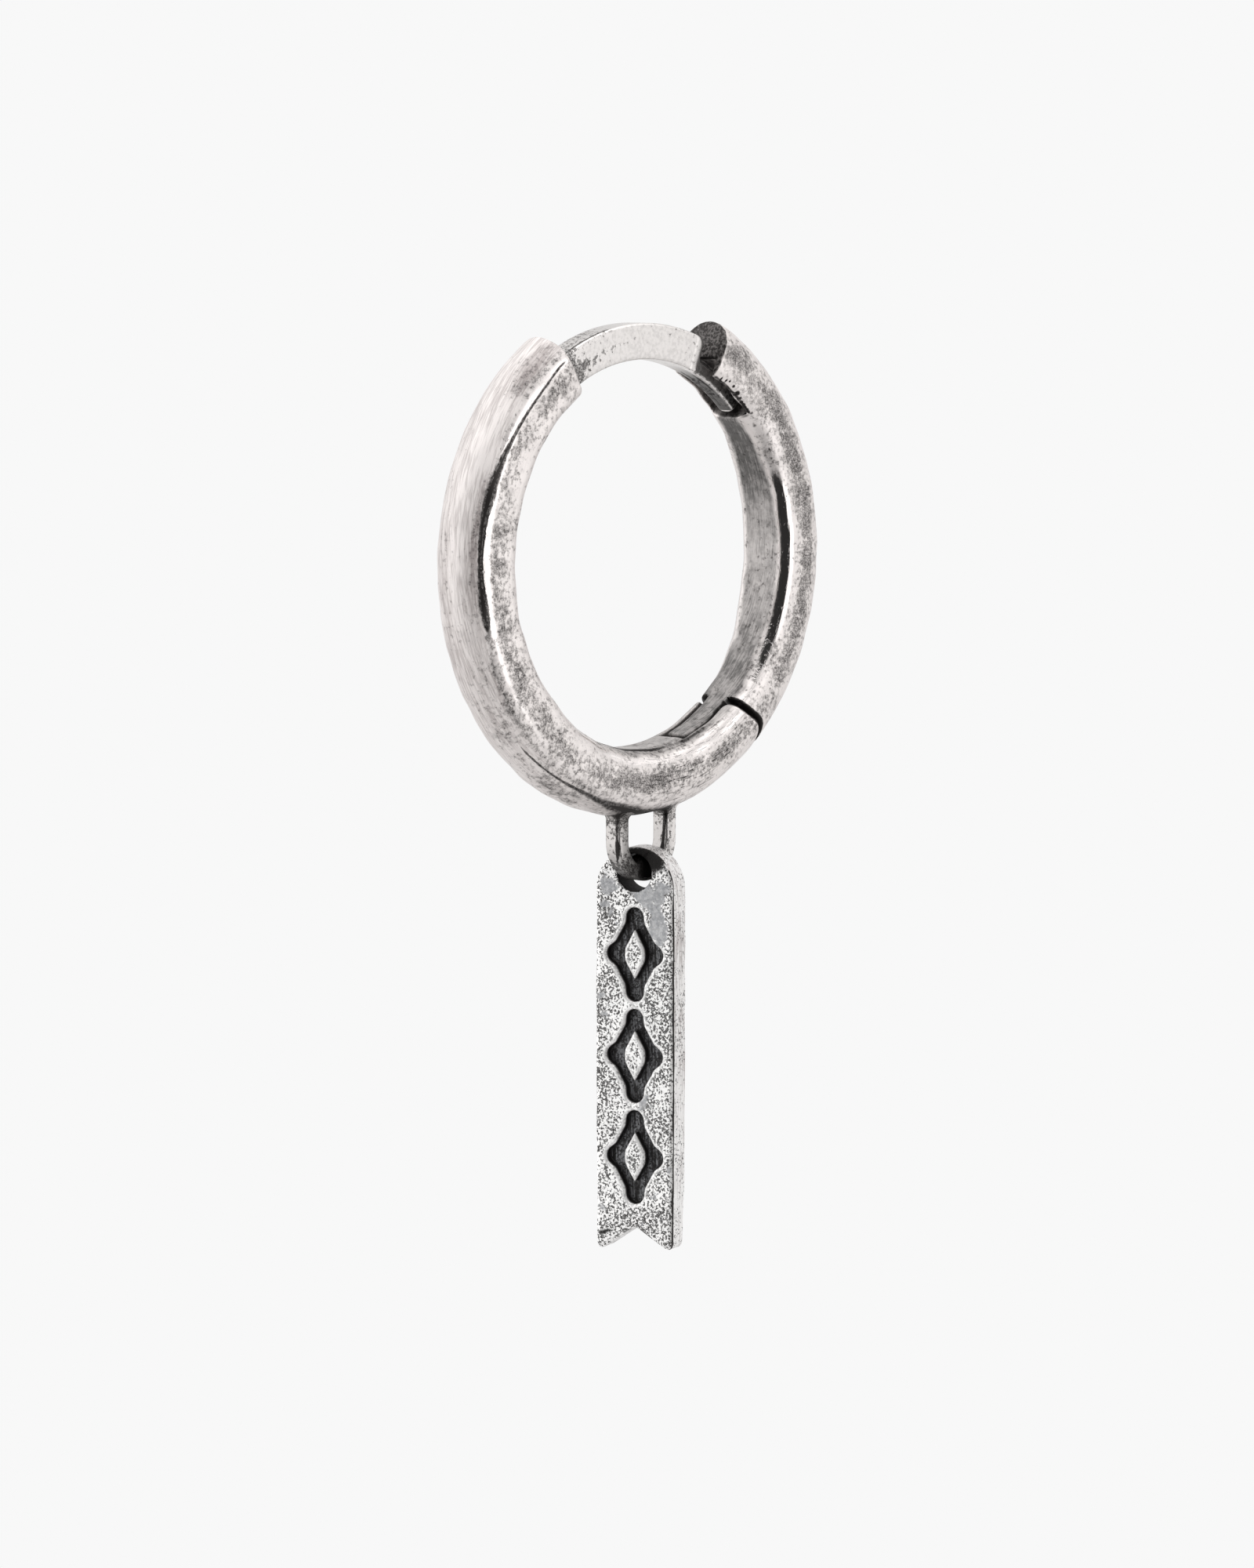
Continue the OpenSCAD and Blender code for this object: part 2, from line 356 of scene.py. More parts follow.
root = np.radians(LEAF_ROOT_TURN)
leaf_root = BARREL_R * np.array([np.sin(root), np.cos(root)])
leaf_line = in_pin_plane(INNER_R + LEAF_T, LEAF_END) - leaf_root
leaf_out = np.array([-leaf_line[1], leaf_line[0]]) / np.hypot(*leaf_line)


def past_leaf(out, along):
    """Distance outwards past the straight outer face of the leaf."""
    return (out - leaf_root[0]) * leaf_out[0] + (along - leaf_root[1]) * leaf_out[1]


print(f"the leaf is {np.hypot(*leaf_line):.2f} mm long")

# %% [markdown]
# ## The front arm
# On the real earring this is one casting: left arm, bottom, and the two cheeks of the hinge at lower
# right. Its top end is cut square where the ear post comes out. The cut for the tongue runs down between
# the cheeks and opens inwards into a pocket for the leaf.

# %% Front arm
# The block's step and its reach past the metal, in millimetres, and its fine and coarse steps in degrees.
GRID, MARGIN = 0.036, 0.09
FINE, COARSE = 0.3, 0.9
# How far the fine steps go on past a cut and back into the metal, and where they cover the cheeks.
PAST_CUT, BEFORE_CUT = 0.8, 2.5
CHEEKS_SPAN = (282.0, 314.0)


def front_arm(points):
    """The profile, cut at the top end, rounded at the cheeks, less the slot for the tongue. The slot is the
    barrel's room, all that lies beyond the pin and the leaf's pocket, between the tongue's two sides."""
    turn, radius, y = hoop_place(points, first=90.0)
    out, along = pin_plane(points)
    metal = blend_max(band(turn, radius, y), -past_angle(turn, radius, FRONT_END), WORN)
    cheeks = round_end(out, along, NOSE_R, *NOSE_SPAN)
    barrel = np.hypot(out, along) - BARREL_R - BARREL_GAP
    pocket = blend_max(past_leaf(out, along) - LEAF_GAP, -past_angle(turn - 360, radius, POCKET_END), WORN)
    slot = blend_max(np.minimum(np.minimum(barrel, -along), pocket),
                     np.maximum(MID_Y - y - TONGUE_GAP, y - MID_Y - FAR_GAP) - TONGUE_W / 2, WORN / 2)
    hinge = blend_max(metal, blend_max(cheeks, -slot, NOSE_SOFT), WORN)
    return np.where(turn > 360 + HINGE_FROM, hinge, metal) + by_hand(points)


r_axis = spaced((INNER_R - MARGIN, GRID), (HOOP_R + MARGIN, None))
y_axis = spaced((-CROWN_R - MARGIN, GRID), (CROWN_R + MARGIN, None))
turn_axis = spaced((FRONT_END - PAST_CUT, FINE), (FRONT_END + BEFORE_CUT, COARSE), (CHEEKS_SPAN[0], FINE),
                   (CHEEKS_SPAN[1], None))
points, quads, normals = skin(front_arm, (turn_axis, r_axis, y_axis), on_hoop)
print(f"the front arm runs from {turn_axis[0]:.0f} to {turn_axis[-1]:.0f} degrees in {len(quads)} faces")

# %% [markdown]
# ## Masks for the finish
# Silver darkens where polishing can't reach. A hollow shows in the distance formula: a short way out from
# the skin, the distance is less than the way gone, because another wall is near. Stains and lines that
# belong to one place are given one by one: a soft spot, or a thin line through a few places.

# %% Masks
def hollows(field, points, normals, reach):
    """How enclosed each point is, from 0 on an open face to 1 in a deep hollow: one less the distance at a
    point reach away along the normal, over reach."""
    return np.clip(1 - field(points + normals * reach) / reach, 0, 1)


def edges(field, points, normals, reach):
    """How sharp an outer edge is: inside the metal, a short way along the normal, the skin is nearer than
    the way gone."""
    return np.clip(1 + field(points - normals * reach) / reach, 0, 1)


def spots(first, second, places):
    """Soft spots on two coordinates, each (first, second, reach, reach, strength): a bell that is the
    exponential of minus the squared distances over the reaches, times the strength, all added up."""
    total = np.zeros_like(first)
    for at_first, at_second, reach_first, reach_second, strength in places:
        away = ((first - at_first) / reach_first) ** 2 + ((second - at_second) / reach_second) ** 2
        total += strength * np.exp(-away)
    return total


def thin_line(first, second, stops):
    """A thin line through stops (first, second, half width, strength), in rising order of the first number:
    a bell across the line, whose place, width and strength go straight from stop to stop."""
    at_first, at_second, width, strength = np.array(stops).T
    middle = np.interp(first, at_first, at_second)
    inside = (first > at_first[0]) & (first < at_first[-1])
    away = (second - middle) / np.interp(first, at_first, width)
    return inside * np.interp(first, at_first, strength) * np.exp(-away ** 2)


def along_hoop(turn, stops):
    """A number that goes straight from stop to stop (angle, number) round the hoop."""
    return np.interp(turn, *np.array(stops, float).T)


deepest = hollows(front_arm, points, normals, 0.25).max()
print(f"the deepest point of the front arm has hollow {deepest:.2f}")

# %% Round the profile
# Where the flat side, the corner and the inner flat begin, in millimetres round the profile.
SIDE_FROM = CROWN_R * np.pi / 2
CORNER_FROM = 1.9
INSIDE_FROM = 2.34


def around_profile(turn, radius, y):
    """Millimetres round the profile, from 0 at its outermost line: along the crown's arc, down the flat
    side, round the corner by its angle, and over the inner flat. The side and the corner are stretched so
    that each starts at the same number however round the corner is."""
    edge = inner_edge(turn, y)
    crown = np.abs(np.arctan2(y, radius - CROWN_MID)) * CROWN_R
    side = SIDE_FROM + (CORNER_FROM - SIDE_FROM) * (CROWN_MID - radius) / (CROWN_MID - INNER_R - edge)
    over_y, over_r = np.abs(y) - (CROWN_R - edge), INNER_R + edge - radius
    tilt = np.arctan2(np.maximum(over_r, 0), np.maximum(over_y, 1e-6)) / (np.pi / 2)
    corner = CORNER_FROM + (INSIDE_FROM - CORNER_FROM) * tilt
    inside = INSIDE_FROM - np.minimum(over_y, 0)
    return np.select([radius > CROWN_MID, over_r < 0, over_y > 0], [crown, side, corner], inside)


def signed_around(turn, radius, y):
    """The same with a minus sign on the near side, and running on over the inner flat to the far side."""
    around = around_profile(turn, radius, y)
    whole = 2 * (INSIDE_FROM + CROWN_R) - inner_edge(turn, -1.0 + 0 * y) - inner_edge(turn, 1.0 + 0 * y)
    return np.where((y > 0) & (radius < CROWN_MID), around - whole, np.sign(y) * around)


print(f"the flat side begins {SIDE_FROM:.2f} mm round the profile and the inner flat {INSIDE_FROM:.2f} mm")

# %% Masks of a hoop piece
# How far off a wall still darkens a face, how far in an edge is felt, and where the ridge's share of the
# profile ends and the rim's begins.
HOLLOW_REACH, EDGE_REACH = 0.25, 0.12
RIDGE_TO = 1.5


def hoop_masks(field, points, normals, first, wear):
    """The masks that every hoop piece has, and its flow coordinates: millimetres round the hoop, along its
    axis and from the centre. Wear says by place what is on the surface: stains and soot are spots, lines are
    thin lines, creases and on the front arm a painted reflection band among them, brush is how strongly the
    wheel marked it, scratch how much the side is scratched, ridge and rim are how well the outer and the
    inner edge of the flat side are polished, inner is where the dull inside begins and dull how dull it is."""
    turn, radius, y = hoop_place(points, first)
    around, across = signed_around(turn, radius, y), around_profile(turn, radius, y)
    flow = np.stack([np.radians(turn) * CROWN_MID, y, radius], axis=-1)
    line = sum(thin_line(turn, around, stops) for stops in wear["lines"])
    polish = np.where(across < RIDGE_TO, along_hoop(turn, wear["ridge"]), along_hoop(turn, wear["rim"]))
    return {"hollow": hollows(field, points, normals, HOLLOW_REACH),
            "edge": edges(field, points, normals, EDGE_REACH),
            "stain": spots(turn, around, wear["stains"]), "across": across,
            "line": line + spots(turn, around, wear["soot"]), "polish": polish, "flow": flow,
            **{name: along_hoop(turn, wear[name]) for name in ("inner", "dull", "brush", "scratch")}}


# %% [markdown]
# ## Wear of the front arm
# The earring has been worn and was blackened before it was polished: the tarnish sits in patches, a long
# black band runs beside the polished ridge, a crease darkened further by a painted reflection of the dark
# room round the camera, and soot lies round the bail and under the hoop. Each patch is placed one by one.
# Stains and soot are (angle, round the profile, reach, reach, strength), lines have stops (angle, round the
# profile, half width, strength), and the rest have stops (angle, number). Round the profile the near side
# is negative. A stain with a negative strength keeps its place clean.

# %% Wear of the front arm
FRONT_WEAR = {
    "stains": ((150, -1.6, 8, 0.4, -0.5), (238, -0.3, 8, 0.35, 0.9), (130, -0.6, 8, 0.3, 2.0),
               (180, 0.15, 25, 0.3, 0.6), (172, -0.78, 18, 0.12, 0.9), (265, -1.45, 12, 0.28, 0.9),
               (224, -1.7, 3, 0.12, 0.9),
               (125, -2.3, 5, 0.5, 0.4), (240, -0.9, 9, 0.3, 0.7), (292, -1.55, 6, 0.2, 0.4),
               (212, -1.55, 12, 0.25, 0.4), (215, -0.88, 12, 0.09, 1.0), (262, -0.3, 14, 0.5, 1.0),
               (266, -2.22, 18, 0.12, 1.4), (290, -2.22, 10, 0.1, 1.3), (268, -1.8, 18, 0.16, 1.0),
               (213, -0.45, 14, 0.5, 0.7), (178, -0.74, 15, 0.16, 0.8), (186, -0.6, 6, 0.3, 0.3),
               (154, -0.55, 7, 0.3, -0.9), (163, -0.2, 8, 0.3, -0.5)),
    # First line: a crease darkened further by a painted reflection, the dark room's black band beside the
    # ridge.
    "lines": (((122.5, -1.13, 0.02, 0.6), (124, -1.14, 0.03, 1.2), (130, -1.196, 0.035, 1.2),
               (138, -1.19, 0.04, 1.2), (148, -1.124, 0.05, 1.2), (156, -1.04, 0.12, 1.2),
               (163, -0.975, 0.17, 1.3), (169, -0.93, 0.1, 1.2), (178, -0.92, 0.065, 1.2),
               (184, -0.93, 0.085, 1.2), (189, -0.97, 0.15, 1.3), (193, -0.98, 0.1, 1.1),
               (198, -0.99, 0.03, 0)),
              ((222, -0.6, 0.02, 0), (226, -0.618, 0.03, 1), (235, -0.709, 0.035, 1.1),
               (243, -0.78, 0.05, 1.1), (250, -0.78, 0.11, 0.85), (262, -0.64, 0.22, 0.8),
               (268, -0.42, 0.24, 0.8), (275, -0.27, 0.18, 0.6), (282, -0.2, 0.15, 0)),
              ((236, -2.3, 0.02, 0), (243, -2.3, 0.03, 1.2), (255, -2.28, 0.035, 1.5),
               (272, -2.22, 0.035, 1.4), (282, -2.22, 0.03, 0)),
              ((278, -2.2, 0.03, 0), (285, -2.2, 0.05, 0.8), (294, -2.2, 0.05, 0.8), (298, -2.2, 0.04, 0))),
    "soot": ((259, -0.6, 5, 0.18, 0.42), (264.8, -0.02, 3.5, 0.45, 1.6), (276, -0.2, 9, 0.44, 1.2),
             (246, -0.55, 3, 0.12, 0.6), (224, -1.7, 1.2, 0.06, 0.6)),
    "brush": ((120, 1), (205, 1), (240, 0.55), (300, 0.35)),
    "ridge": ((120, 0.7), (150, 0.8), (160, 1), (190, 1), (198, 0.4), (212, 0.34), (222, 0.24),
              (232, 0.14), (240, 0)),
    "rim": ((120, 0.1), (225, 0.1), (245, 0.6), (285, 0.85), (300, 0.9)),
    "inner": ((120, 2.3), (235, 2.3), (250, 2.16), (262, 2.12), (300, 2.12)),
    "dull": ((120, 0.7), (250, 0.35), (262, 0.6), (280, 0.65), (288, 0.75), (300, 0.7)),
    "scratch": ((120, 0.1), (262, 0.2), (278, 1), (300, 0.7))}
# A line of this strength comes out solid black, and the painted shade in the joint between the arms
# fades over this depth.
SOLID = 1.3
JOINT_SHADE_REACH = 0.06
masks = hoop_masks(front_arm, points, normals, 90.0, FRONT_WEAR)
# Painted shade: the cheeks' faces across the gap from the rear arm are blackened as the joint's shade.
past_cheeks = round_end(*pin_plane(points), NOSE_R, *NOSE_SPAN)
at_the_right = points[:, 0] > 2
masks["line"] = masks["line"] + SOLID * (np.clip(1.5 + past_cheeks / JOINT_SHADE_REACH, 0, 1) * at_the_right)
arm = add_piece("front_arm", "front", points, [quads], normals, masks)
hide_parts("front_hoop")

# %% [markdown]
# ## The rear arm
# The hinged half: its free end is cut square and slotted from inside for the catch, and its hinge end is
# hollowed round the cheeks, with the tongue, its barrel round the pin and a thin leaf that turns inwards
# when the hoop opens.

# %% Rear arm
# The catch slot's width, the radius of its floor and the angle where it ends.
CATCH_W, CATCH_R, CATCH_END = 1.3, 5.87, 44.6
# The fine steps cover the hinge up to the first angle and the slot from the second.
REAR_COARSE_SPAN = (-42.0, 43.0)


def catch_slot(turn, radius, y):
    """Distance from the slot: below its floor, past its closed end and between its two walls."""
    floor_or_end = np.maximum(radius - CATCH_R, -past_angle(turn, radius, CATCH_END))
    return blend_max(floor_or_end, np.abs(y) - CATCH_W / 2, WORN / 2)


def rear_arm(points):
    """The profile, cut at the free end and at the leaf's end, less the catch slot. Near the hinge only what
    lies outside the hollow end, or between the cheeks and on the tongue, is metal."""
    turn, radius, y = hoop_place(points)
    out, along = pin_plane(points)
    metal = blend_max(band(turn, radius, y), past_angle(turn, radius, REAR_END), WORN)
    metal = blend_max(metal, -catch_slot(turn, radius, y), WORN)
    beside = -round_end(out, along, NOSE_R + NOSE_GAP, *HOLLOW_SPAN)
    leaf = blend_max(past_leaf(out, along), -past_angle(turn, radius, LEAF_END), WORN)
    tongue = np.minimum(np.minimum(np.hypot(out, along) - BARREL_R, -along), leaf)
    tongue = blend_max(tongue, np.abs(y - MID_Y) - TONGUE_W / 2, WORN / 2)
    hinge = blend_max(metal, np.minimum(beside, tongue), WORN)
    return np.where(turn < HINGE_TO, hinge, metal) + by_hand(points)


turn_axis = spaced((LEAF_END - 1.0, FINE), (REAR_COARSE_SPAN[0], COARSE), (REAR_COARSE_SPAN[1], FINE),
                   (REAR_END + PAST_CUT, None))
points, quads, normals = skin(rear_arm, (turn_axis, r_axis, y_axis), on_hoop)
print(f"the rear arm runs from {turn_axis[0]:.0f} to {turn_axis[-1]:.0f} degrees in {len(quads)} faces")

# %% [markdown]
# ## Wear of the rear arm
# The end face at the top is black and rough, the mouth of the catch slot has a chain of sooty pits along
# its edge, and the inside is dull, darker towards the top. The first line is as wide as the profile and
# blackens the end face.

# %% Wear of the rear arm
REAR_WEAR = {
    "stains": ((30, -1.5, 10, 0.35, 0.5), (56, -1.1, 7, 0.4, 0.8), (-45, -1.2, 7, 0.4, 0.4),
               (20, -1.35, 32, 0.35, 0.7), (50, -1.9, 10, 0.12, 0.7), (-20, -1.35, 12, 0.3, 0.4),
               (-30, -2.15, 12, 0.15, 0.7)),
    "lines": (((63.2, -0.9, 9, 0), (63.8, -0.9, 9, 1), (66, -0.9, 9, 1)),
              ((43, -2.08, 0.02, 0), (45, -2.1, 0.02, 1), (62, -2.1, 0.02, 1), (64, -2.1, 0.02, 0))),
    "soot": ((60.4, -2.07, 0.25, 0.025, 1.4), (58.6, -2.05, 0.3, 0.025, 1.5), (57.4, -2.03, 0.35, 0.02, 1.2),
             (55.2, -2.04, 0.4, 0.02, 1.4), (52.6, -2.06, 0.6, 0.028, 1.9), (50.6, -2.07, 0.4, 0.018, 1.2),
             (49.2, -2.09, 0.4, 0.018, 1.3), (48.0, -2.09, 0.5, 0.02, 1.4), (46.9, -2.1, 0.4, 0.018, 1.5),
             (45.8, -2.09, 0.4, 0.018, 1.3), (44.9, -2.1, 0.3, 0.016, 1.3), (44.0, -2.06, 0.4, 0.02, 0.8),
             (40.2, -2.12, 0.8, 0.03, 0.8), (31, -2.08, 0.9, 0.03, 0.9), (28, -2.1, 0.8, 0.03, 0.8),
             (22.5, -2.07, 2.5, 0.06, 0.62)),
    "brush": ((-80, 0.35), (64, 0.5)),
    "ridge": ((-80, 0), (64, 0.1)),
    "rim": ((-80, 0.6), (-45, 0.6), (-30, 0.5), (-18, 0.9), (14, 1), (18, 0.75), (25, 0.15), (64, 0.1)),
    "inner": ((-80, 2.14), (-45, 2.16), (-28, 2.28), (30, 2.3), (64, 2.22)),
    "dull": ((-80, 0.95), (-60, 1.0), (-45, 1.02), (-34, 1.0), (-20, 0.85), (0, 0.78), (14, 0.9), (24, 1.12),
             (40, 1.2), (64, 1.15)),
    "scratch": ((-60, 0.7), (-40, 0.2), (64, 0.1))}

# %% Rear arm with its masks
# Painted shade with some tarnish in the catch slot is weaker than solid and fades over a short way outside
# it. Beside the tongue the painted shade of the joint starts within a short way of the tongue's sides. The
# tongue's near side has a line of painted shade along it, where the leaf's side lies in shade.
SLOT_SHADE_AND_TARNISH, SLOT_FADE = 0.62, 0.05
TONGUE_FADE = 0.08
TONGUE_PAINTED_SHADE = ((-74, -0.43, 0.02, 0.5), (-62, -0.43, 0.03, 0.6), (-52, -0.43, 0.06, 1.1))
TONGUE_INSIDE = 5.6
masks = hoop_masks(rear_arm, points, normals, -180.0, REAR_WEAR)
turn, radius, y = hoop_place(points)
# Painted shade and tarnish inside the catch slot.
catch_shade_and_tarnish = np.clip(1 - catch_slot(turn, radius, y) / SLOT_FADE, 0, 1) * (radius < CATCH_R + 0.1)
past_hollow = round_end(*pin_plane(points), NOSE_R + NOSE_GAP, *HOLLOW_SPAN)
beside_tongue = np.clip((np.abs(y - MID_Y) - TONGUE_W / 2) / TONGUE_FADE, 0, 1)
# Painted shade in the joint round the cheeks, beside the tongue.
painted_joint_shade = np.clip(1.5 - past_hollow / JOINT_SHADE_REACH, 0, 1) * (turn < -30) * beside_tongue
# Painted shade along the tongue's near side.
painted_tongue_shade = thin_line(turn, y, TONGUE_PAINTED_SHADE) * (radius < TONGUE_INSIDE)
masks["line"] = masks["line"] + SLOT_SHADE_AND_TARNISH * catch_shade_and_tarnish + SOLID * painted_joint_shade + painted_tongue_shade
rear = add_piece("rear_arm_skin", "rear", points, [quads], normals, masks)
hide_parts("rear_arm")

# %% [markdown]
# ## The ear post and the bail
# These are plain rods, so each is a profile carried along a path. The post is a flat bar on the hoop's own
# circle, stepped down to a thin tip that springs into the catch. The bail is a flat wire bent to a U, with
# its ends flared where solder runs onto the hoop.

# %% Profiles carried along a path
def soft_box(width, height, edge, per_corner=7, per_side=9):
    """Points round a rectangle with round corners: each corner is a quarter circle of radius edge, and a
    row of points runs straight on to the next. With arrays for the sizes it gives one ring for each."""
    turn = np.linspace(0, np.pi / 2, per_corner) + np.arange(4)[:, None] * np.pi / 2
    corner = np.array([[1, 1], [-1, 1], [-1, -1], [1, -1]])[:, None]
    size, edge = np.stack(np.broadcast_arrays(width, height), axis=-1), np.asarray(edge)[..., None]
    middle = corner * (size / 2 - edge)[..., None, None, :]
    ring = middle + edge[..., None, None] * np.stack([np.cos(turn), np.sin(turn)], axis=-1)
    last, following = ring[..., -1:, :], np.roll(ring[..., :1, :], -1, axis=-3)
    share = np.linspace(0, 1, per_side + 2)[1:-1, None]
    ring = np.concatenate([ring, last + share * (following - last)], axis=-2)
    return ring.reshape(size.shape[:-1] + (-1, 2))


def tube(rings):
    """Points and faces of rings of points, joined in order, with both ends closed in their middles."""
    count, around = rings.shape[:2]
    index = np.arange(count * around).reshape(count, around)
    after = np.roll(index, -1, axis=1)
    quads = np.stack([index[:-1], after[:-1], after[1:], index[1:]], axis=-1).reshape(-1, 4)
    middles = np.stack([rings[0].mean(0), rings[-1].mean(0)])
    first, last = np.full(around, count * around), np.full(around, count * around + 1)
    ends = np.concatenate([np.stack([first, after[0], index[0]], axis=-1),
                           np.stack([last, index[-1], after[-1]], axis=-1)])
    return np.concatenate([rings.reshape(-1, 3), middles]), [quads, ends]


def quarter(start, end, count):
    """Steps from start to end on a quarter circle: the first number goes as a sine, the others as one less
    a cosine."""
    turn = np.linspace(0, np.pi / 2, count)[:, None]
    share = np.concatenate([np.sin(turn)] + [1 - np.cos(turn)] * (len(start) - 1), axis=-1)
    return np.array(start) + (np.array(end) - np.array(start)) * share


print(f"a soft box has {len(soft_box(1.0, 1.0, 0.1))} points round it")

# %% Ear post
# The shoulder where the post steps down to its tip, the tip's end, thickness, width and middle.
SHOULDER, SHOULDER_SOFT = 68.0, 0.24
TIP_END, TIP_T, TIP_W, TIP_MID = 45.6, 0.38, 0.58, -0.015
POST_EDGE = 0.09


def ear_post():
    """Rings of the post, each a soft box with its inner side at the post's inner radius. Their (angle,
    thickness, width, middle) go straight from the front arm to the shoulder, round it, down its face, along
    the tip and round its end."""
    thick = POST_R[1] - POST_R[0]
    start = (FRONT_END + 3, thick, POST_W, MID_Y)
    top = (SHOULDER + np.degrees(SHOULDER_SOFT / POST_R[1]), thick, POST_W, MID_Y)
    face = (SHOULDER, thick - SHOULDER_SOFT, POST_W - 0.04, MID_Y)
    knee = (SHOULDER - 0.4, 0.54, 0.72, -0.07)
    foot = (SHOULDER - 2.4, TIP_T, TIP_W, TIP_MID)
    tip = (TIP_END + 0.9, TIP_T, TIP_W - 0.04, TIP_MID)
    end = (TIP_END, TIP_T - 0.1, TIP_W - 0.34, TIP_MID)
    runs = [np.linspace(start, top, 80), quarter(top, face, 9), np.linspace(face, knee, 6)[1:],
            np.linspace(knee, foot, 8)[1:], np.linspace(foot, tip, 40)[1:], quarter(tip, end, 9)[1:]]
    turn, height, width, mid = np.concatenate(runs).T
    box = soft_box(height, width, POST_EDGE)
    radius = POST_R[0] + height[:, None] / 2 + box[..., 0]
    turn = np.broadcast_to(turn[:, None], radius.shape)
    return on_hoop(np.stack([turn, radius, mid[:, None] - box[..., 1]], axis=-1))


rings = ear_post()
print(f"the post has {rings.shape[0]} rings of {rings.shape[1]} points")

# %% [markdown]
# ## Wear of the ear post
# The post is bright in the middle, where the lobe rubs it. Specks gather on its top and in a band on the
# near face. Inside the catch nothing polishes it: the step at the shoulder is black, the tip's near side is
# sooty towards its end, and the tip's top is dull between two creases.

# %% Ear post with its masks
# Stains are (angle, along the axis, reach, reach, strength), and the band has radii in the second place.
POST_STAINS = ((119.5, -0.47, 3.8, 0.22, 2.1), (112, 0.1, 8, 0.4, 0.7), (55, 0, 9, 1, 0.95),
               (88, 0, 14, 1, -0.3))
SPECK_BAND = ((115.5, 5.6, 3, 0.2, 1.2), (110, 5.68, 5, 0.14, 1.2), (102, 5.78, 5, 0.09, 1.0),
              (95, 5.88, 4, 0.07, 0.9))
POST_LINES = (((98, -0.39, 0.03, 0), (104, -0.39, 0.03, 1), (124, -0.39, 0.03, 1)),
              ((50, -0.18, 0.03, 0.4), (62, -0.17, 0.06, 0.9), (70, -0.14, 0.03, 0)),
              ((48, 0.05, 0.06, 0.5), (56, 0.04, 0.04, 0.7), (68, 0.1, 0.04, 0.8), (74, 0.1, 0.02, 0)))
points, faces = tube(rings)
turn, radius, y = hoop_place(points, 0.0)
near_face = y < MID_Y - POST_W / 2 + 0.05
top_specks = np.interp(radius, (6.15, 6.26), (0, 0.35))
step = (turn < SHOULDER - 0.1) & (radius > POST_R[0] + TIP_T + 0.03) & (y > -0.42)
on_top = (radius > 6.24) | (turn < SHOULDER)
tip_soot = np.interp(turn, (47, 54, SHOULDER - 0.4, SHOULDER), (1.1, 0.55, 0.5, 0))
tip_side = np.clip((TIP_MID - TIP_W / 2 + 0.05 - y) / 0.04, 0, 1) * (turn > TIP_END + 0.3)
tip_dull = np.interp(turn, (62, 76), (1, 0)) * np.interp(np.abs(y - TIP_MID), (0.2, 0.25), (1, 0.1))
top_dull = np.interp(turn, (84, 100, 124), (0, 0.25, 0.3)) * (radius > 6.26)
masks = {"stain": spots(turn, y, POST_STAINS) + top_specks + spots(turn, radius, SPECK_BAND) * near_face,
         "line": SOLID * step + sum(thin_line(turn, y, stops) for stops in POST_LINES) * on_top
         + tip_soot * tip_side,
         "dull": tip_dull * (turn > TIP_END + 0.6) + top_dull}
post = add_piece("ear_post", "front", points, faces, masks=masks)

# %% Bail
BAIL_X, _, HOLE_Z = np.array(joints["drop_swing"]["pos_m"]) / MM
# The wire's thickness, width and worn edge, the bend's radius and middle, and the solder's flare.
WIRE_T, WIRE_W, WIRE_EDGE = 0.4, 0.55, 0.08
BAIL_R = 0.93
BAIL_MID = HOLE_Z - 0.05 + BAIL_R
FLARE = 0.16
# Solder in the bend: its height, the degrees it reaches to each side, their soft part, and its half width.
LUMP, LUMP_REACH, LUMP_SOFT, LUMP_WIDE = 0.31, 30, 12, 0.36
# Rings up a leg and on its flare, and how far the last ring is sunk into the hoop.
LEG_RINGS, FLARE_RINGS = 14, 8
SUNK_IN = 0.12


def under_hoop(x, y):
    """Height of the hoop's underside at (x, y): the circle that the profile's point at y runs on."""
    radius = CROWN_MID + np.sqrt(np.maximum(CROWN_R ** 2 - y ** 2, 0))
    return HOOP_Z - np.sqrt(radius ** 2 - x ** 2)


def bail_leg(side):
    """Rings up one leg, from the bend to inside the hoop. A ring's height goes from flat to following the
    hoop's underside, and over the last stretch it flares on a quarter circle."""
    bend = np.linspace(0, np.pi / 2, FLARE_RINGS)
    flare = np.concatenate([np.zeros(LEG_RINGS), FLARE * (1 - np.cos(bend)), [FLARE]])[:, None]
    below = np.concatenate([np.full(LEG_RINGS, FLARE), FLARE * (1 - np.sin(bend)), [-SUNK_IN]])[:, None]
    share = np.concatenate([np.linspace(0, 1, LEG_RINGS), np.ones(FLARE_RINGS + 1)])[:, None]
    box = soft_box(WIRE_T + 2 * flare[:, 0], WIRE_W + 2 * flare[:, 0], WIRE_EDGE + flare[:, 0])
    x, y = BAIL_X + side * (BAIL_R + box[..., 0]), box[..., 1]
    z = BAIL_MID + (under_hoop(x, y) - below - BAIL_MID) * share
    return np.stack([x, y, z], axis=-1)


def bail_bend(count=40):
    """Rings round the bend, from the far side to the near one: the wire's box turned about the bend's
    middle by half a circle. Inside the drop's hole the wire is thicker, by a smooth step along it and a
    parabola across it on its inner side, where solder ran together."""
    turn = np.linspace(-np.pi, 0, count)[1:-1, None]
    away = np.clip((LUMP_REACH - np.abs(np.degrees(turn) + 90)) / LUMP_SOFT, 0, 1)
    box = soft_box(WIRE_T, WIRE_W, WIRE_EDGE)
    inner = np.clip(-box[:, 0] / WIRE_T + 0.5, 0, 1)
    inner = inner * (1 - (box[:, 1] / LUMP_WIDE) ** 2)
    radius = BAIL_R + box[:, 0] - LUMP * inner * away ** 2 * (3 - 2 * away)
    y = box[:, 1] + 0 * turn
    return np.stack([BAIL_X + radius * np.cos(turn), y, BAIL_MID + radius * np.sin(turn)], axis=-1)


rings = np.concatenate([bail_leg(-1)[::-1], bail_bend(), bail_leg(1)])
print(f"the bail has {rings.shape[0]} rings and hangs down to {rings[..., 2].min():.2f} mm")
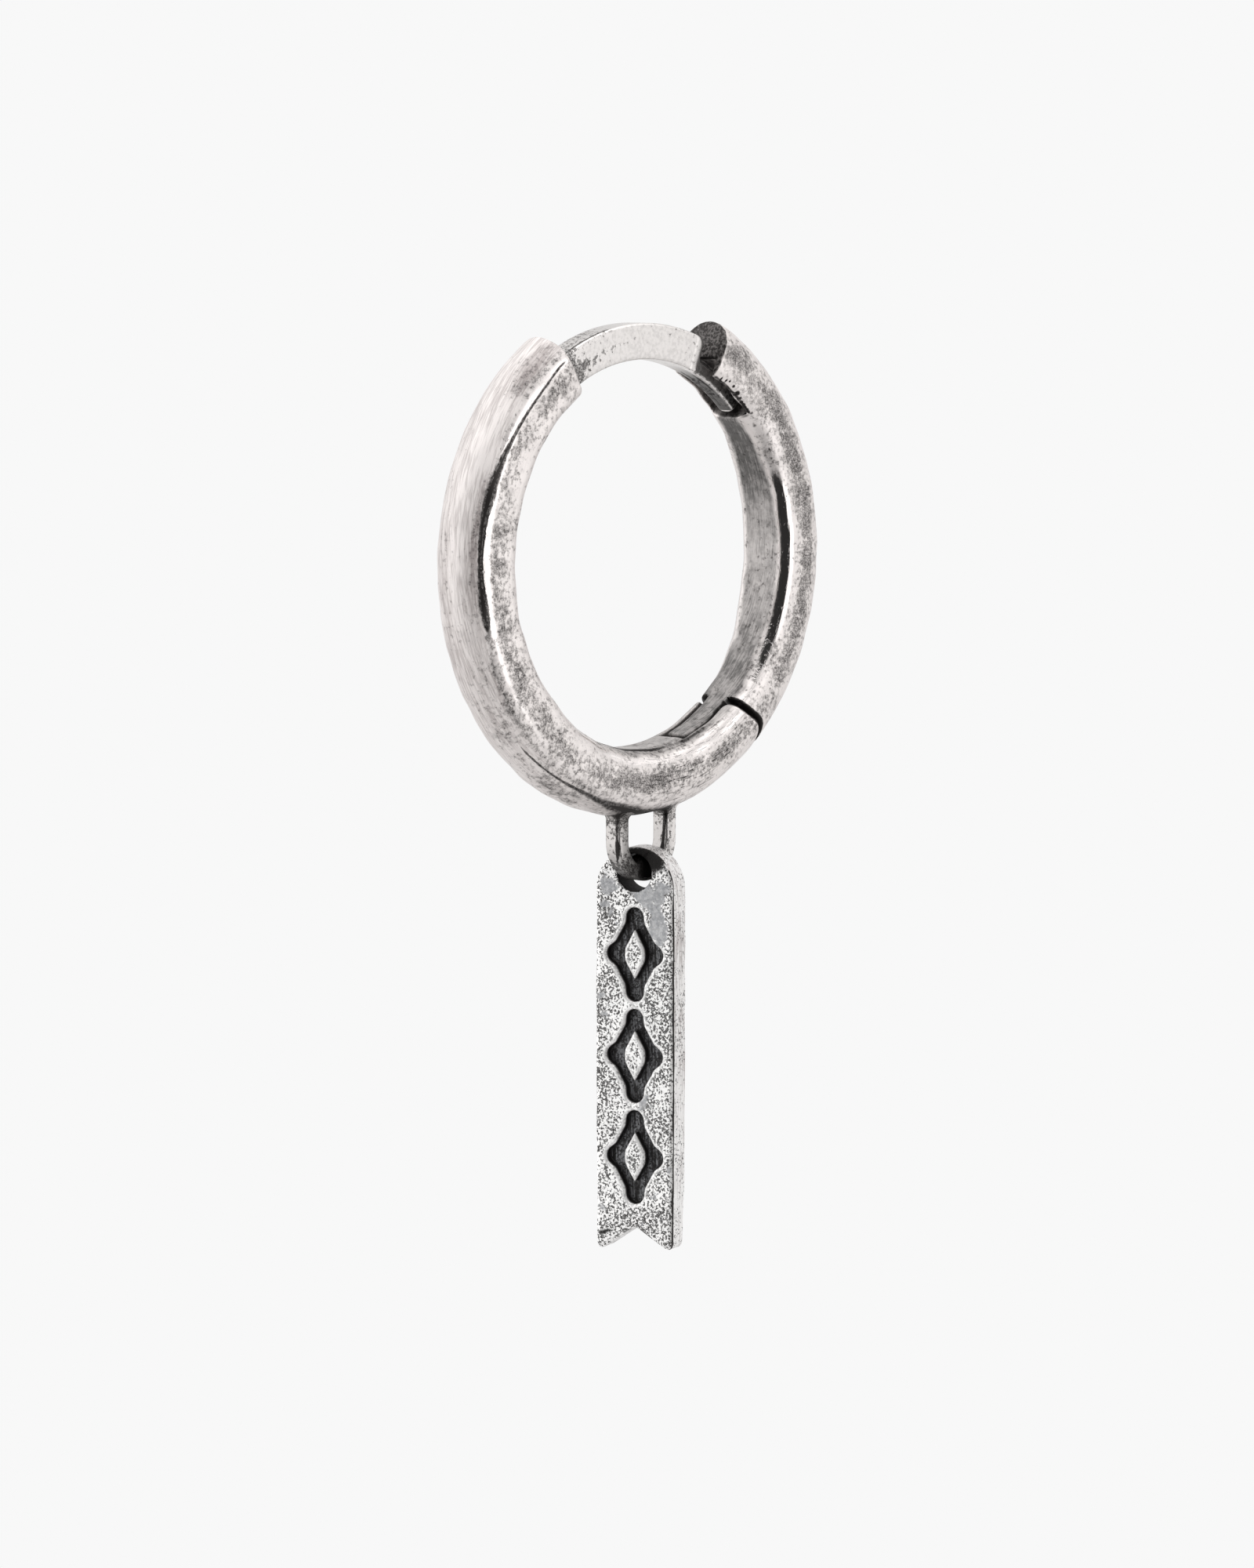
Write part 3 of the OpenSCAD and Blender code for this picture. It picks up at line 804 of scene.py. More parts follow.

# %% Bail with its masks
# Stains are (height, along the axis, reach, reach, strength). Each leg has one painted reflection that
# wanders down it, a dark band where the wire turns towards the dark room round the camera: (height,
# direction round the wire in degrees, half width, strength).
BAIL_STAINS = ((-12.8, 0, 0.25, 3, 1.2), (-13.3, 0, 0.6, 3, 0.6), (HOLE_Z + 0.1, 0, 0.35, 3, 1.4))
NEAR_PAINTED_REFLECTION = ((-14.3, -50, 10, 0), (-14.0, -47, 10, 1.4), (-13.6, -45, 14, 1.9), (-13.35, -43, 9, 1.1),
               (-13.1, -41, 12, 1.0), (-12.85, -43, 16, 1.15), (-12.6, -44, 60, 1.35))
FAR_PAINTED_REFLECTION = ((-14.3, -160, 10, 1.2), (-13.9, -154, 11, 1.9), (-13.5, -144, 10, 1.5),
              (-13.1, -137, 12, 1.1), (-12.85, -132, 14, 1.3), (-12.6, -132, 60, 1.0))
points, faces = tube(rings)
x, y, height = points.T
near_leg, far_leg = x < BAIL_X, x >= BAIL_X
outwards = np.abs(x - BAIL_X) - BAIL_R
facing = np.degrees(np.arctan2(y, outwards))
# The wire's bend inside the drop's hole is darkened: painted shade with oxide.
in_hole = np.exp(-((x - BAIL_X) / 0.42) ** 2) * (height < HOLE_Z + 0.7)
masks = {"stain": spots(height, y, BAIL_STAINS),
         "dull": np.clip(0.3 - 1.5 * outwards, 0.06, 0.55) + 0.32 * near_leg - 0.12 * far_leg,
         # Painted reflections down the legs; painted shade with oxide on the bend inside the drop's hole.
         "line": near_leg * thin_line(height, facing, NEAR_PAINTED_REFLECTION) + far_leg * thin_line(height, facing, FAR_PAINTED_REFLECTION)
         + 1.4 * in_hole * (height > HOLE_Z - 0.16)}
bail = add_piece("bail", "front", points, faces, masks=masks)

# %% [markdown]
# ## The drop
# A flat cast plate with a round head, a drilled hole and a swallow tail. Its front carries three sunk
# lozenges whose bars end in small balls. It hangs in the bail and is turned a little, so the plate has
# its own axes: across, up and out of its front face.

# %% The drop's own axes
DROP_W, DROP_T, DROP_L = 2.32, 0.86, 11.14
HOLE_R, RIM = 0.5, 0.19
drop_out = -np.array(joints["drop_swing"]["axis"])
drop_across = np.array([-drop_out[1], drop_out[0], 0])
drop_top = np.array([BAIL_X, 0, HOLE_Z + HOLE_R + RIM])


def on_drop(block):
    """Points from (across, up, out), each measured along its own direction from the top of the head."""
    up = np.array([0, 0, 1.0])
    return drop_top + block[..., :1] * drop_across + block[..., 1:2] * up + block[..., 2:] * drop_out


def drop_place(points):
    """(across, up, out) of points: their shadows on the plate's three directions."""
    away = points - drop_top
    return away @ drop_across, away[..., 2], away @ drop_out


drop_turn = np.degrees(np.arctan2(-drop_out[1], -drop_out[0]))
print(f"the drop is turned {drop_turn:.0f} degrees in the bail")

# %% The drop's shape
# The notch's depth and slant, and the lozenges: depth, half size, half width of a bar, radius of a ball,
# the first one's middle below the top, the step from one to the next, and how many.
NOTCH, SLANT = 0.73, 0.04
SUNK = 0.28
LOZENGE = np.array([0.58, 1.02])
BAR, BALL = 0.17, 0.27
FIRST, PITCH, COUNT = 2.93, 2.78, 3
# How much the sides and the back bow in, from this share of the length, over this share of it.
SIDE_BOW, BACK_BOW = 0.025, 0.14
BOW_FROM, BOW_OVER = 0.42, 0.58
# How softly each edge is worn, and the hand's waves.
TAIL_SOFT, FACE_SOFT, HOLE_SOFT, SUNK_SOFT, BALL_SOFT = 0.3, 0.1, 0.08, 0.07, 0.12
DROP_WAVES = (1.7, 0.012)
DROP_MARGIN = 0.08


def lozenges(across, up):
    """Distance in the face from the sunk bars and balls. Everything is folded into one quarter of the
    nearest lozenge, where a bar is the distance from a slanted line and a ball from a corner."""
    which = np.clip(np.round((-up - FIRST) / PITCH), 0, COUNT - 1)
    x, y = np.abs(across), np.abs(up + FIRST + which * PITCH)
    line = LOZENGE * [-1, 1]
    share = np.clip(((x - LOZENGE[0]) * line[0] + y * line[1]) / (line @ line), 0, 1)
    bar = np.hypot(x - LOZENGE[0] - share * line[0], y - share * line[1]) - BAR
    balls = np.minimum(np.hypot(x - LOZENGE[0], y), np.hypot(x, y - LOZENGE[1])) - BALL
    return blend_min(bar, balls, BALL_SOFT)


def drop(points):
    """The outline and the plate's two faces, less the hole and the lozenges. The outline is a strip with a
    round head and a tail of two slanted lines that meet in the notch. The sides bow in by a parabola, and
    the back by a cube below its middle, as the casting's do."""
    across, up, out = drop_place(points)
    middle = (-up - DROP_L * BOW_FROM) / (DROP_L * BOW_OVER)
    half = DROP_W / 2 - SIDE_BOW * middle ** 2
    side = np.where(up > -half, np.hypot(across, up + half), np.abs(across)) - half
    tail = NOTCH * (1 - np.abs(across) / half) - DROP_L - up + SLANT * across
    outline = blend_max(side, tail * np.cos(np.arctan2(NOTCH, DROP_W / 2)), TAIL_SOFT)
    back = DROP_T / 2 - BACK_BOW * np.maximum(middle, 0) ** 3
    plate = blend_max(outline, np.maximum(out - DROP_T / 2, -out - back), FACE_SOFT)
    hole = HOLE_R - np.hypot(across, up + RIM + HOLE_R)
    sunk = np.maximum(lozenges(across, up), DROP_T / 2 - SUNK - out)
    return blend_max(blend_max(plate, hole, HOLE_SOFT), -sunk, SUNK_SOFT) + uneven(points, *DROP_WAVES)


axes = (spaced((-DROP_W / 2 - DROP_MARGIN, GRID), (DROP_W / 2 + DROP_MARGIN, None)),
        spaced((-DROP_L - DROP_MARGIN, GRID), (DROP_MARGIN, None)),
        spaced((-DROP_T / 2 - DROP_MARGIN, GRID), (DROP_T / 2 + DROP_MARGIN, None)))
points, quads, normals = skin(drop, axes, on_drop)
print(f"the drop is {np.ptp(points[:, 2]):.2f} mm long and {np.ptp(points @ drop_across):.2f} mm wide")

# %% [markdown]
# ## Wear of the drop
# The lozenges were blackened and the face rubbed back, so the black stays in them and a bright line runs
# round each. The right edge of the face is a thin dark line. Soot and painted shade lie on the head round
# the top of the hole, soot on the left prong's front and painted shade under the notch beside it, and the
# hole's wall is black with painted shade and oxide. Some places are rubbed smooth and grey.

# %% Drop with its masks
# Soot, painted shade and rubbed places are (across, up, reach, reach, strength). The head's spots are soot
# and painted shade over the top of the hole, where the bail's wire lies in shade.
HEAD_SOOT_AND_SHADE = ((0.15, -0.15, 0.5, 0.13, 2.2), (0.58, -0.38, 0.26, 0.22, 2.4), (-0.42, -0.34, 0.12, 0.12, 1.6))
TAIL_SOOT = ((-0.95, -10.62, 0.2, 0.07, 0.9), (-0.75, -10.55, 0.16, 0.05, 0.7))
RUBBED_PLACES = ((0.8, -1.9, 0.35, 1.0, 0.9), (0.35, -1.2, 0.7, 0.3, 0.7), (-0.8, -1.1, 0.4, 0.3, 0.6))
across, up, out = drop_place(points)
outward = normals @ drop_out
from_lozenge = lozenges(across, up)
near_front = out > DROP_T / 2 - 0.1
on_front = out > 0.3
right_edge = np.exp(-((outward - 0.2 - uneven(points, 1.3, 0.3)) / 0.3) ** 2) * (across > 1) * near_front
# Painted shade on the downward faces of the notch at the left prong.
prong_underside_shade = np.clip(-normals[:, 2] - 0.3, 0, 1) * (across < -0.1) * (up < -9)
# Painted shade with oxide on the hole's wall.
hole_wall = np.hypot(across, up + RIM + HOLE_R) < HOLE_R + 0.03
masks = {"hollow": hollows(drop, points, normals, 0.2), "flow": np.stack([up, across, out], axis=-1),
         "sunk": np.clip((DROP_T / 2 - out - 0.03) / (SUNK - 0.05), 0, 1) * (from_lozenge < 0.02) * (out > 0),
         "line": 2.0 * right_edge + spots(across, up, HEAD_SOOT_AND_SHADE) * on_front
         + spots(across, up, TAIL_SOOT) * on_front + 0.7 * prong_underside_shade + 1.2 * hole_wall,
         "face": np.clip((np.abs(outward) - 0.3) * 2, 0, 1),
         "rim": np.exp(-((from_lozenge - 0.05) / 0.05) ** 2) * near_front,
         "rubbed": spots(across, up, RUBBED_PLACES)}
plate = add_piece("drop_plate", "drop", points, [quads], normals, masks)
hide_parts("drop")

# %% [markdown]
# ## A short way to write nodes
# A finish is a tree of nodes. One helper adds a node, sets its options, and fills its inputs: a socket is
# linked, and anything else is set as a value. The others are sums, products and smooth steps made with it,
# so that a finish reads like arithmetic.

# %% Node helpers
def fill(tree, socket, value):
    """Links a socket to another one, or sets its value."""
    if isinstance(value, bpy.types.NodeSocket):
        tree.links.new(value, socket)
    else:
        socket.default_value = value


def add(tree, kind, settings=None, **inputs):
    """Adds a node. Inputs are given by name, with _ for a space, or by number as in_0, in_1."""
    node = tree.nodes.new(kind)
    for key, value in (settings or {}).items():
        setattr(node, key, value)
    for key, value in inputs.items():
        which = int(key[3:]) if key.startswith("in_") else key.replace("_", " ")
        fill(tree, node.inputs[which], value)
    return node


def calc(tree, operation, *values, clamp=False):
    """The result of a Math node."""
    inputs = {f"in_{i}": v for i, v in enumerate(values)}
    return add(tree, "ShaderNodeMath", {"operation": operation, "use_clamp": clamp}, **inputs).outputs[0]


def times(tree, *values):
    """The product of numbers."""
    product = values[0]
    for value in values[1:]:
        product = calc(tree, "MULTIPLY", product, value)
    return product


def less(tree, value):
    """One less a number."""
    return calc(tree, "SUBTRACT", 1.0, value)


def plus(tree, value, more, share=1.0):
    """A number and a share of another."""
    return calc(tree, "MULTIPLY_ADD", more, share, value)


def ramp(tree, value, low, high, to_low=0.0, to_high=1.0):
    """A smooth step: to_low below low, to_high above high."""
    return add(tree, "ShaderNodeMapRange", {"interpolation_type": "SMOOTHSTEP"}, Value=value, From_Min=low,
               From_Max=high, To_Min=to_low, To_Max=to_high).outputs[0]


def blend(tree, share, first, second):
    """A colour between first and second."""
    return add(tree, "ShaderNodeMix", {"data_type": "RGBA"}, in_0=share, in_6=first, in_7=second).outputs[2]


def noise(tree, vector, scale, detail=2.0, rough=0.5):
    """Cloudy noise from 0 to 1."""
    node = add(tree, "ShaderNodeTexNoise", Vector=vector, Scale=scale, Detail=detail, Roughness=rough)
    return node.outputs[0]


# %% Group helpers
def new_group(name, inputs, outputs):
    """A shader node group with named sockets. Returns its tree and the nodes that hold its sockets."""
    tree = bpy.data.node_groups.new(name, "ShaderNodeTree")
    for label, kind, value in inputs:
        socket = tree.interface.new_socket(label, in_out="INPUT", socket_type="NodeSocket" + kind)
        if value is not None:
            socket.default_value = value
    for label, kind in outputs:
        tree.interface.new_socket(label, in_out="OUTPUT", socket_type="NodeSocket" + kind)
    return tree, tree.nodes.new("NodeGroupInput").outputs, tree.nodes.new("NodeGroupOutput").inputs


def use(tree, group, **inputs):
    """Places a group in a material and fills its inputs. Returns its outputs."""
    node = tree.nodes.new("ShaderNodeGroup")
    node.node_tree = group
    for key, value in inputs.items():
        fill(tree, node.inputs[key.replace("_", " ")], value)
    return node.outputs


print("helpers for nodes and groups are ready")

# %% [markdown]
# ## Tarnish
# Oxidised silver that has been rubbed back keeps small dark specks that gather in clouds. One noise makes
# the specks, a coarse one says how many there are here, and a finer one breaks them into grains. Amount is
# roughly the share of the surface that is dark, and it can change over the piece.

# %% Tarnish group
tarnish, given, gives = new_group("tarnish", [("Place", "Vector", None), ("Amount", "Float", 0.5),
    ("Fineness", "Float", 9.0), ("Clouds", "Float", 1.4), ("Spread", "Float", 0.5),
    ("Soft", "Float", 0.2)], [("Mask", "Float")])
# The grains are this much finer than the specks, and the specks' threshold falls as the amount grows.
GRAIN_FINER = 2.7
THRESHOLD, THRESHOLD_FALL = 0.72, 0.42
specks = noise(tarnish, given["Place"], given["Fineness"], 2.0, 0.6)
clouds = noise(tarnish, given["Place"], given["Clouds"], 3.0, 0.6)
grain = noise(tarnish, given["Place"], times(tarnish, given["Fineness"], GRAIN_FINER), 2.0, 0.6)
more = times(tarnish, calc(tarnish, "SUBTRACT", clouds, 0.5), given["Spread"])
level = calc(tarnish, "SUBTRACT", THRESHOLD, times(tarnish, given["Amount"], THRESHOLD_FALL))
level = calc(tarnish, "SUBTRACT", level, more)
mask = ramp(tarnish, specks, level, calc(tarnish, "ADD", level, given["Soft"]))
mask = times(tarnish, mask, ramp(tarnish, grain, 0.36, 0.6, 0.35, 1.0))
tarnish.links.new(mask, gives["Mask"])
print(f"tarnish: {len(tarnish.nodes)} nodes")

# %% [markdown]
# ## Brushed lines
# An abrasive wheel leaves fine scratches that run round the hoop. On flow coordinates, noise that is
# squeezed across the scratches and stretched along them gives their height and their streaks of tone. A
# second set at a small angle to the first keeps the lines from looking combed.

# %% Brushed group
brushed, given, gives = new_group("brushed", [("Flow", "Vector", None), ("Fineness", "Float", 22.0),
    ("Length", "Float", 0.7), ("Slant", "Float", 0.12)], [("Height", "Float"), ("Streaks", "Float")])
split = add(brushed, "ShaderNodeSeparateXYZ", Vector=given["Flow"])
along, aside, out_of = split.outputs
# The first set's share of the slant, and how the wide streaks squeeze the fine lines' coordinates.
LESS_SLANT = 0.2
WIDE = (0.7, 0.12, 0.12)
sets = []
for slant in (times(brushed, given["Slant"], LESS_SLANT), given["Slant"]):
    slanted = calc(brushed, "ADD", aside, times(brushed, along, slant))
    vector = add(brushed, "ShaderNodeCombineXYZ", X=calc(brushed, "DIVIDE", along, given["Length"]),
                 Y=times(brushed, slanted, given["Fineness"]),
                 Z=times(brushed, out_of, given["Fineness"])).outputs[0]
    sets.append(noise(brushed, vector, 1.0, 3.0, 0.6))
lines = times(brushed, calc(brushed, "ADD", *sets), 0.5)
brushed.links.new(lines, gives["Height"])
wide = add(brushed, "ShaderNodeVectorMath", {"operation": "MULTIPLY"}, in_0=vector, in_1=WIDE)
wide = noise(brushed, wide.outputs[0], 1.0, 2.0, 0.5)
tones = calc(brushed, "ADD", times(brushed, lines, 0.8), times(brushed, wide, 0.2))
brushed.links.new(tones, gives["Streaks"])
print(f"brushed: {len(brushed.nodes)} nodes")

# %% [markdown]
# ## Worn silver
# All finishes are made with the same few helpers, because they are one metal: clean silver, dark oxide where
# a mask says so, which some masks also use for painted shade and painted reflections, and a bump from
# scratches and specks. What differs is how much of each there is.

# %% Tones of silver and helpers for a finish
# Plain silver, silver under the wheel and its dark streaks, the dull inside, the drop's face and its rubbed
# patches, and black oxide, which also gives the painted shade and painted reflections that some masks carry.
CLEAN = (0.85, 0.815, 0.795, 1)
WHEELED = (0.87, 0.82, 0.8, 1)
STREAK = (0.42, 0.375, 0.365, 1)
DULL = (0.14, 0.134, 0.13, 1)
BRIGHT = (0.97, 0.96, 0.95, 1)
RUBBED = (0.34, 0.345, 0.36, 1)
OXIDE_AND_PAINTED_SHADE = (0.02, 0.0175, 0.0165, 1)
# Depth of scratches and specks on the hoop and the wire, and of the drop's pits, in metres.
SCRATCH_DEPTH = 0.000012
PIT_DEPTH = 0.00002


def attribute(tree, name, output="Fac"):
    """A mask that is stored on the points. A piece that has no such mask gives zero."""
    return add(tree, "ShaderNodeAttribute", {"attribute_name": name}).outputs[output]


def begin(name):
    """A new material, its tree, its Principled shader, and Object coordinates in millimetres."""
    material = bpy.data.materials.new(name)
    material.use_nodes = True
    tree = material.node_tree
    shader = tree.nodes["Principled BSDF"]
    place = add(tree, "ShaderNodeTexCoord").outputs["Object"]
    place = add(tree, "ShaderNodeVectorMath", {"operation": "SCALE"}, in_0=place, Scale=1 / MM).outputs[0]
    return material, tree, shader, place


def finish(tree, shader, dark, tone, rough, metal, height, depth):
    """Joins a finish to the shader: black oxide, also used for painted shade and painted reflections, over
    the silver's tone, and a bump in metres.
    """
    tree.links.new(blend(tree, dark, tone, OXIDE_AND_PAINTED_SHADE), shader.inputs["Base Color"])
    fill(tree, shader.inputs["Roughness"], rough)
    fill(tree, shader.inputs["Metallic"], metal)
    bump = add(tree, "ShaderNodeBump", Height=height, Strength=1.0, Distance=depth)
    tree.links.new(bump.outputs[0], shader.inputs["Normal"])


def broken(tree, line, place, fineness=7.0):
    """A line or spot with a ragged edge and a rough, grainy middle: noise is added before a smooth step,
    and a finer noise takes a little away where the line isn't strong."""
    ragged = calc(tree, "SUBTRACT", noise(tree, place, fineness, 3.0), 0.5)
    grain = ramp(tree, noise(tree, place, 13.0, 4.0, 0.7), 0.42, 0.62, 0.97, 0.76)
    grain = calc(tree, "MAXIMUM", grain, ramp(tree, line, 0.9, 1.15, 0.0, 0.97))
    return times(tree, ramp(tree, plus(tree, line, ragged, 0.8), 0.2, 0.85), grain)


print(f"clean silver is {CLEAN[0] / OXIDE_AND_PAINTED_SHADE[0]:.0f} times as bright as oxide")

# %% [markdown]
# ## The hoop's silver
# The finish of the two arms changes across the profile. The outside carries the wheel's lines. Beside it
# runs a polished ridge, then the speckled flat side, the polished rim of the inner corner, and the dull
# inside. A slow noise moves the borders a little, because polishing by hand never follows a line.

# %% Zones of the hoop's silver
# Where the zones fade in and out, in millimetres round the profile.
BRUSHED_TO = (0.82, 0.92)
RIDGE_IN, RIDGE_OUT = (0.9, 0.98), (1.15, 1.26)
MIDDLE_IN, MIDDLE_OUT = (1.1, 1.4), (1.55, 1.9)
RIM_IN = (1.86, 1.95)
# How far the borders wander, and how much later ridge and rim start where there is no polish.
WANDER, LATER = 0.12, 0.3
# How much tarnish there is everywhere, and how much more on open sides, in the middle of the flat side, and
# in a stain. The dull inside takes this share less of the first and the last.
EVERYWHERE, ON_OPEN, IN_MIDDLE, IN_STAIN = 0.24, 0.34, 0.3, 0.45
LESS_INSIDE = 0.35
HOOP_SPECKS = {"Fineness": 8.0, "Spread": 0.45, "Soft": 0.24}
HOOP_HAZE = {"Fineness": 2.2, "Spread": 0.5, "Soft": 0.3}


def hoop_zones(tree, place, polish):
    """Masks of the zones, from the mask named across with a slow wobble. Where the polish is weak, ridge and
    rim start later and are thinner. Off_inside is 1, and a little less on the dull inside."""
    wobble = calc(tree, "SUBTRACT", noise(tree, place, 1.6, 3.0), 0.5)
    across = plus(tree, attribute(tree, "across"), wobble, WANDER)
    inwards = calc(tree, "SUBTRACT", across, attribute(tree, "inner"))
    later = plus(tree, across, less(tree, polish), -LATER)
    inside = ramp(tree, inwards, -0.06, 0.06)
    return {"outside": ramp(tree, across, *BRUSHED_TO, 1, 0),
            "ridge": times(tree, ramp(tree, later, *RIDGE_IN), ramp(tree, across, *RIDGE_OUT, 1, 0)),
            "middle": times(tree, ramp(tree, across, *MIDDLE_IN), ramp(tree, across, *MIDDLE_OUT, 1, 0)),
            "rim": times(tree, ramp(tree, later, *RIM_IN), ramp(tree, inwards, -0.12, 0.0, 1, 0)),
            "inside": inside,
            "off_inside": less(tree, times(tree, inside, LESS_INSIDE))}


def hoop_dark(tree, place, zone, open_side, scratches):
    """How dark the hoop is: clouds of specks with a softer haze, more of them on the open sides, in the
    middle of the flat side and in stains, with scratches added and sharp edges rubbed clean. Hollows and
    lines go over all of it."""
    stain = calc(tree, "MINIMUM", attribute(tree, "stain"), 1.0)
    amount = plus(tree, EVERYWHERE, times(tree, open_side, zone["off_inside"]), ON_OPEN)
    amount = plus(tree, amount, zone["middle"], IN_MIDDLE)
    amount = plus(tree, amount, times(tree, stain, zone["off_inside"]), IN_STAIN)
    specks = use(tree, tarnish, Place=place, Amount=amount, **HOOP_SPECKS)["Mask"]
    haze = use(tree, tarnish, Place=place, Amount=amount, **HOOP_HAZE)["Mask"]
    specks = plus(tree, plus(tree, times(tree, specks, 0.56), haze, 0.28), scratches)
    specks = times(tree, specks, less(tree, times(tree, attribute(tree, "edge"), 0.8)))
    hollow = ramp(tree, attribute(tree, "hollow"), 0.4, 0.9)
    line = broken(tree, attribute(tree, "line"), place)
    return calc(tree, "MAXIMUM", calc(tree, "MINIMUM", specks, 0.9), calc(tree, "MAXIMUM", hollow, line))


# %% The hoop's silver
def hoop_silver():
    """The front and rear arms: silver in zones, with the wheel's lines as streaks of tone and as a bump on
    the outside, fine scratches beside it, and tarnish over all."""
    material, tree, shader, place = begin("hoop_silver")
    polish, stain = attribute(tree, "polish"), attribute(tree, "stain")
    zone = hoop_zones(tree, place, polish)
    wheel = times(tree, zone["outside"], attribute(tree, "brush"))
    worn = ramp(tree, noise(tree, place, 5.0, 4.0, 0.7), 0.56, 0.7, 1.0, 0.6)
    edge = calc(tree, "MAXIMUM", zone["ridge"], zone["rim"])
    shiny = times(tree, edge, ramp(tree, polish, 0.0, 0.6), worn)
    open_side = less(tree, calc(tree, "MAXIMUM", wheel, shiny))
    lines = use(tree, brushed, Flow=attribute(tree, "flow", "Vector"))
    scratches = times(tree, ramp(tree, lines["Height"], 0.53, 0.6), less(tree, wheel), zone["off_inside"],
                      attribute(tree, "scratch"), 0.5)
    dark = hoop_dark(tree, place, zone, open_side, scratches)
    streaks = plus(tree, times(tree, ramp(tree, lines["Streaks"], 0.4, 0.62), 0.7), stain, 0.4)
    tone = blend(tree, times(tree, calc(tree, "MAXIMUM", streaks, 0.0, clamp=True), wheel), WHEELED, STREAK)
    satin = ramp(tree, plus(tree, noise(tree, place, 3.0, 5.0, 0.7), lines["Height"]), 0.8, 1.2, 0.7, 1.0)
    tone = blend(tree, times(tree, zone["inside"], attribute(tree, "dull"), satin), tone, DULL)
    rough = plus(tree, plus(tree, 0.44, shiny, -0.34), dark, 0.3)
    metal = less(tree, times(tree, wheel, 0.7))
    height = plus(tree, times(tree, lines["Height"], wheel), dark, -0.8)
    finish(tree, shader, dark, tone, rough, metal, height, SCRATCH_DEPTH)
    return material


finishes = {"hoop_silver": hoop_silver()}
print(f"hoop_silver: {len(finishes['hoop_silver'].node_tree.nodes)} nodes")

# %% [markdown]
# ## Silver of the wire and of the drop
# The wire was drawn, so it is smooth and stained only where it was soldered or can't be reached; the bail
# also carries painted reflections down its legs and painted shade inside the drop's hole. The drop was cast:
# its face is pitted like sand, and its sides keep the file's lines.

# %% The wire's silver
WIRE_SPECKS = {"Fineness": 9.0, "Spread": 0.5}


def wire_silver():
    """The post, the bail and the pin: polished rods with stains where they are joined, and on the bail
    painted reflections and painted shade in the line mask.
    """
    material, tree, shader, place = begin("wire_silver")
    amount = plus(tree, 0.2, attribute(tree, "stain"), 0.55)
    specks = use(tree, tarnish, Place=place, Amount=amount, **WIRE_SPECKS)["Mask"]
    line = broken(tree, attribute(tree, "line"), place, 9.0)
    dark = calc(tree, "MAXIMUM", times(tree, specks, 0.85), line)
    mottle = ramp(tree, noise(tree, place, 9.0, 4.0), 0.4, 0.65, 0.0, 0.16)
    dull = attribute(tree, "dull")
    tone = blend(tree, calc(tree, "MAXIMUM", mottle, dull), CLEAN, DULL)
    rough = plus(tree, plus(tree, 0.24, dark, 0.35), dull, 0.2)
    finish(tree, shader, dark, tone, rough, 0.9, times(tree, dark, -1.0), SCRATCH_DEPTH)
    return material


finishes["wire_silver"] = wire_silver()
print(f"wire_silver: {len(finishes['wire_silver'].node_tree.nodes)} nodes")

# %% The drop's silver
PITS = {"Fineness": 16.0, "Spread": 0.3, "Soft": 0.06}
FILE_LINES = {"Fineness": 16.0, "Length": 0.7, "Slant": 0.1}
# Pits are this much fewer on rubbed patches and on the bright rims.
FEWER_PITS = 0.85


def drop_pits(tree, place, face, patches):
    """Fine crisp pits, most on the face, and few on rubbed patches and on the lozenges' bright rims."""
    amount = plus(tree, 0.3, face, 0.25)
    pits = use(tree, tarnish, Place=place, Amount=amount, **PITS)["Mask"]
    pits = calc(tree, "MULTIPLY", pits, 1.4, clamp=True)
    for rubbed in (patches, attribute(tree, "rim")):
        pits = times(tree, pits, less(tree, times(tree, rubbed, FEWER_PITS)))
    return pits


def drop_silver():
    """The drop: a face pitted all over, smooth rubbed patches, and blackened sunk lozenges whose floors
    keep the tool's scratches. The sides have the file's streaks, weaker low down."""
    material, tree, shader, place = begin("drop_silver")
    flow, face = attribute(tree, "flow", "Vector"), attribute(tree, "face")
    side = less(tree, face)
    sunk = ramp(tree, attribute(tree, "sunk"), 0.05, 0.5)
    rubbed = plus(tree, noise(tree, place, 1.2, 5.0, 0.65), attribute(tree, "rubbed"), 0.2)
    patches = times(tree, ramp(tree, rubbed, 0.6, 0.65), face)
    pits = drop_pits(tree, place, face, patches)
    lines = use(tree, brushed, Flow=flow, **FILE_LINES)
    up = add(tree, "ShaderNodeSeparateXYZ", Vector=flow).outputs[0]
    low_down = ramp(tree, up, -9.0, -5.5, 0.55, 1.0)
    streaks = times(tree, ramp(tree, lines["Streaks"], 0.45, 0.62, 0.2, 0.9), side, low_down)
    line = broken(tree, attribute(tree, "line"), place, 9.0)
    tool = ramp(tree, lines["Height"], 0.45, 0.57, 0.42, 0.95)
    dark = calc(tree, "MAXIMUM", times(tree, pits, 0.97), line)
    dark = calc(tree, "MAXIMUM", dark, times(tree, sunk, calc(tree, "MAXIMUM", tool, side)))
    dark = calc(tree, "MAXIMUM", dark, ramp(tree, attribute(tree, "hollow"), 0.5, 0.95))
    mottle = ramp(tree, noise(tree, place, 9.0, 4.0), 0.35, 0.65, 0.65, 0.95)
    tone = blend(tree, times(tree, patches, mottle), BRIGHT, RUBBED)
    tone = blend(tree, streaks, tone, STREAK)
    tone = blend(tree, sunk, tone, RUBBED)
    rough = plus(tree, plus(tree, plus(tree, 0.36, sunk, 0.1), patches, 0.1), line, 0.4)
    metal = plus(tree, 0.5, line, 0.4)
    lined = calc(tree, "MAXIMUM", sunk, side)
    height = plus(tree, times(tree, pits, -1.0), times(tree, lines["Height"], lined))
    finish(tree, shader, dark, tone, rough, metal, height, PIT_DEPTH)
    return material


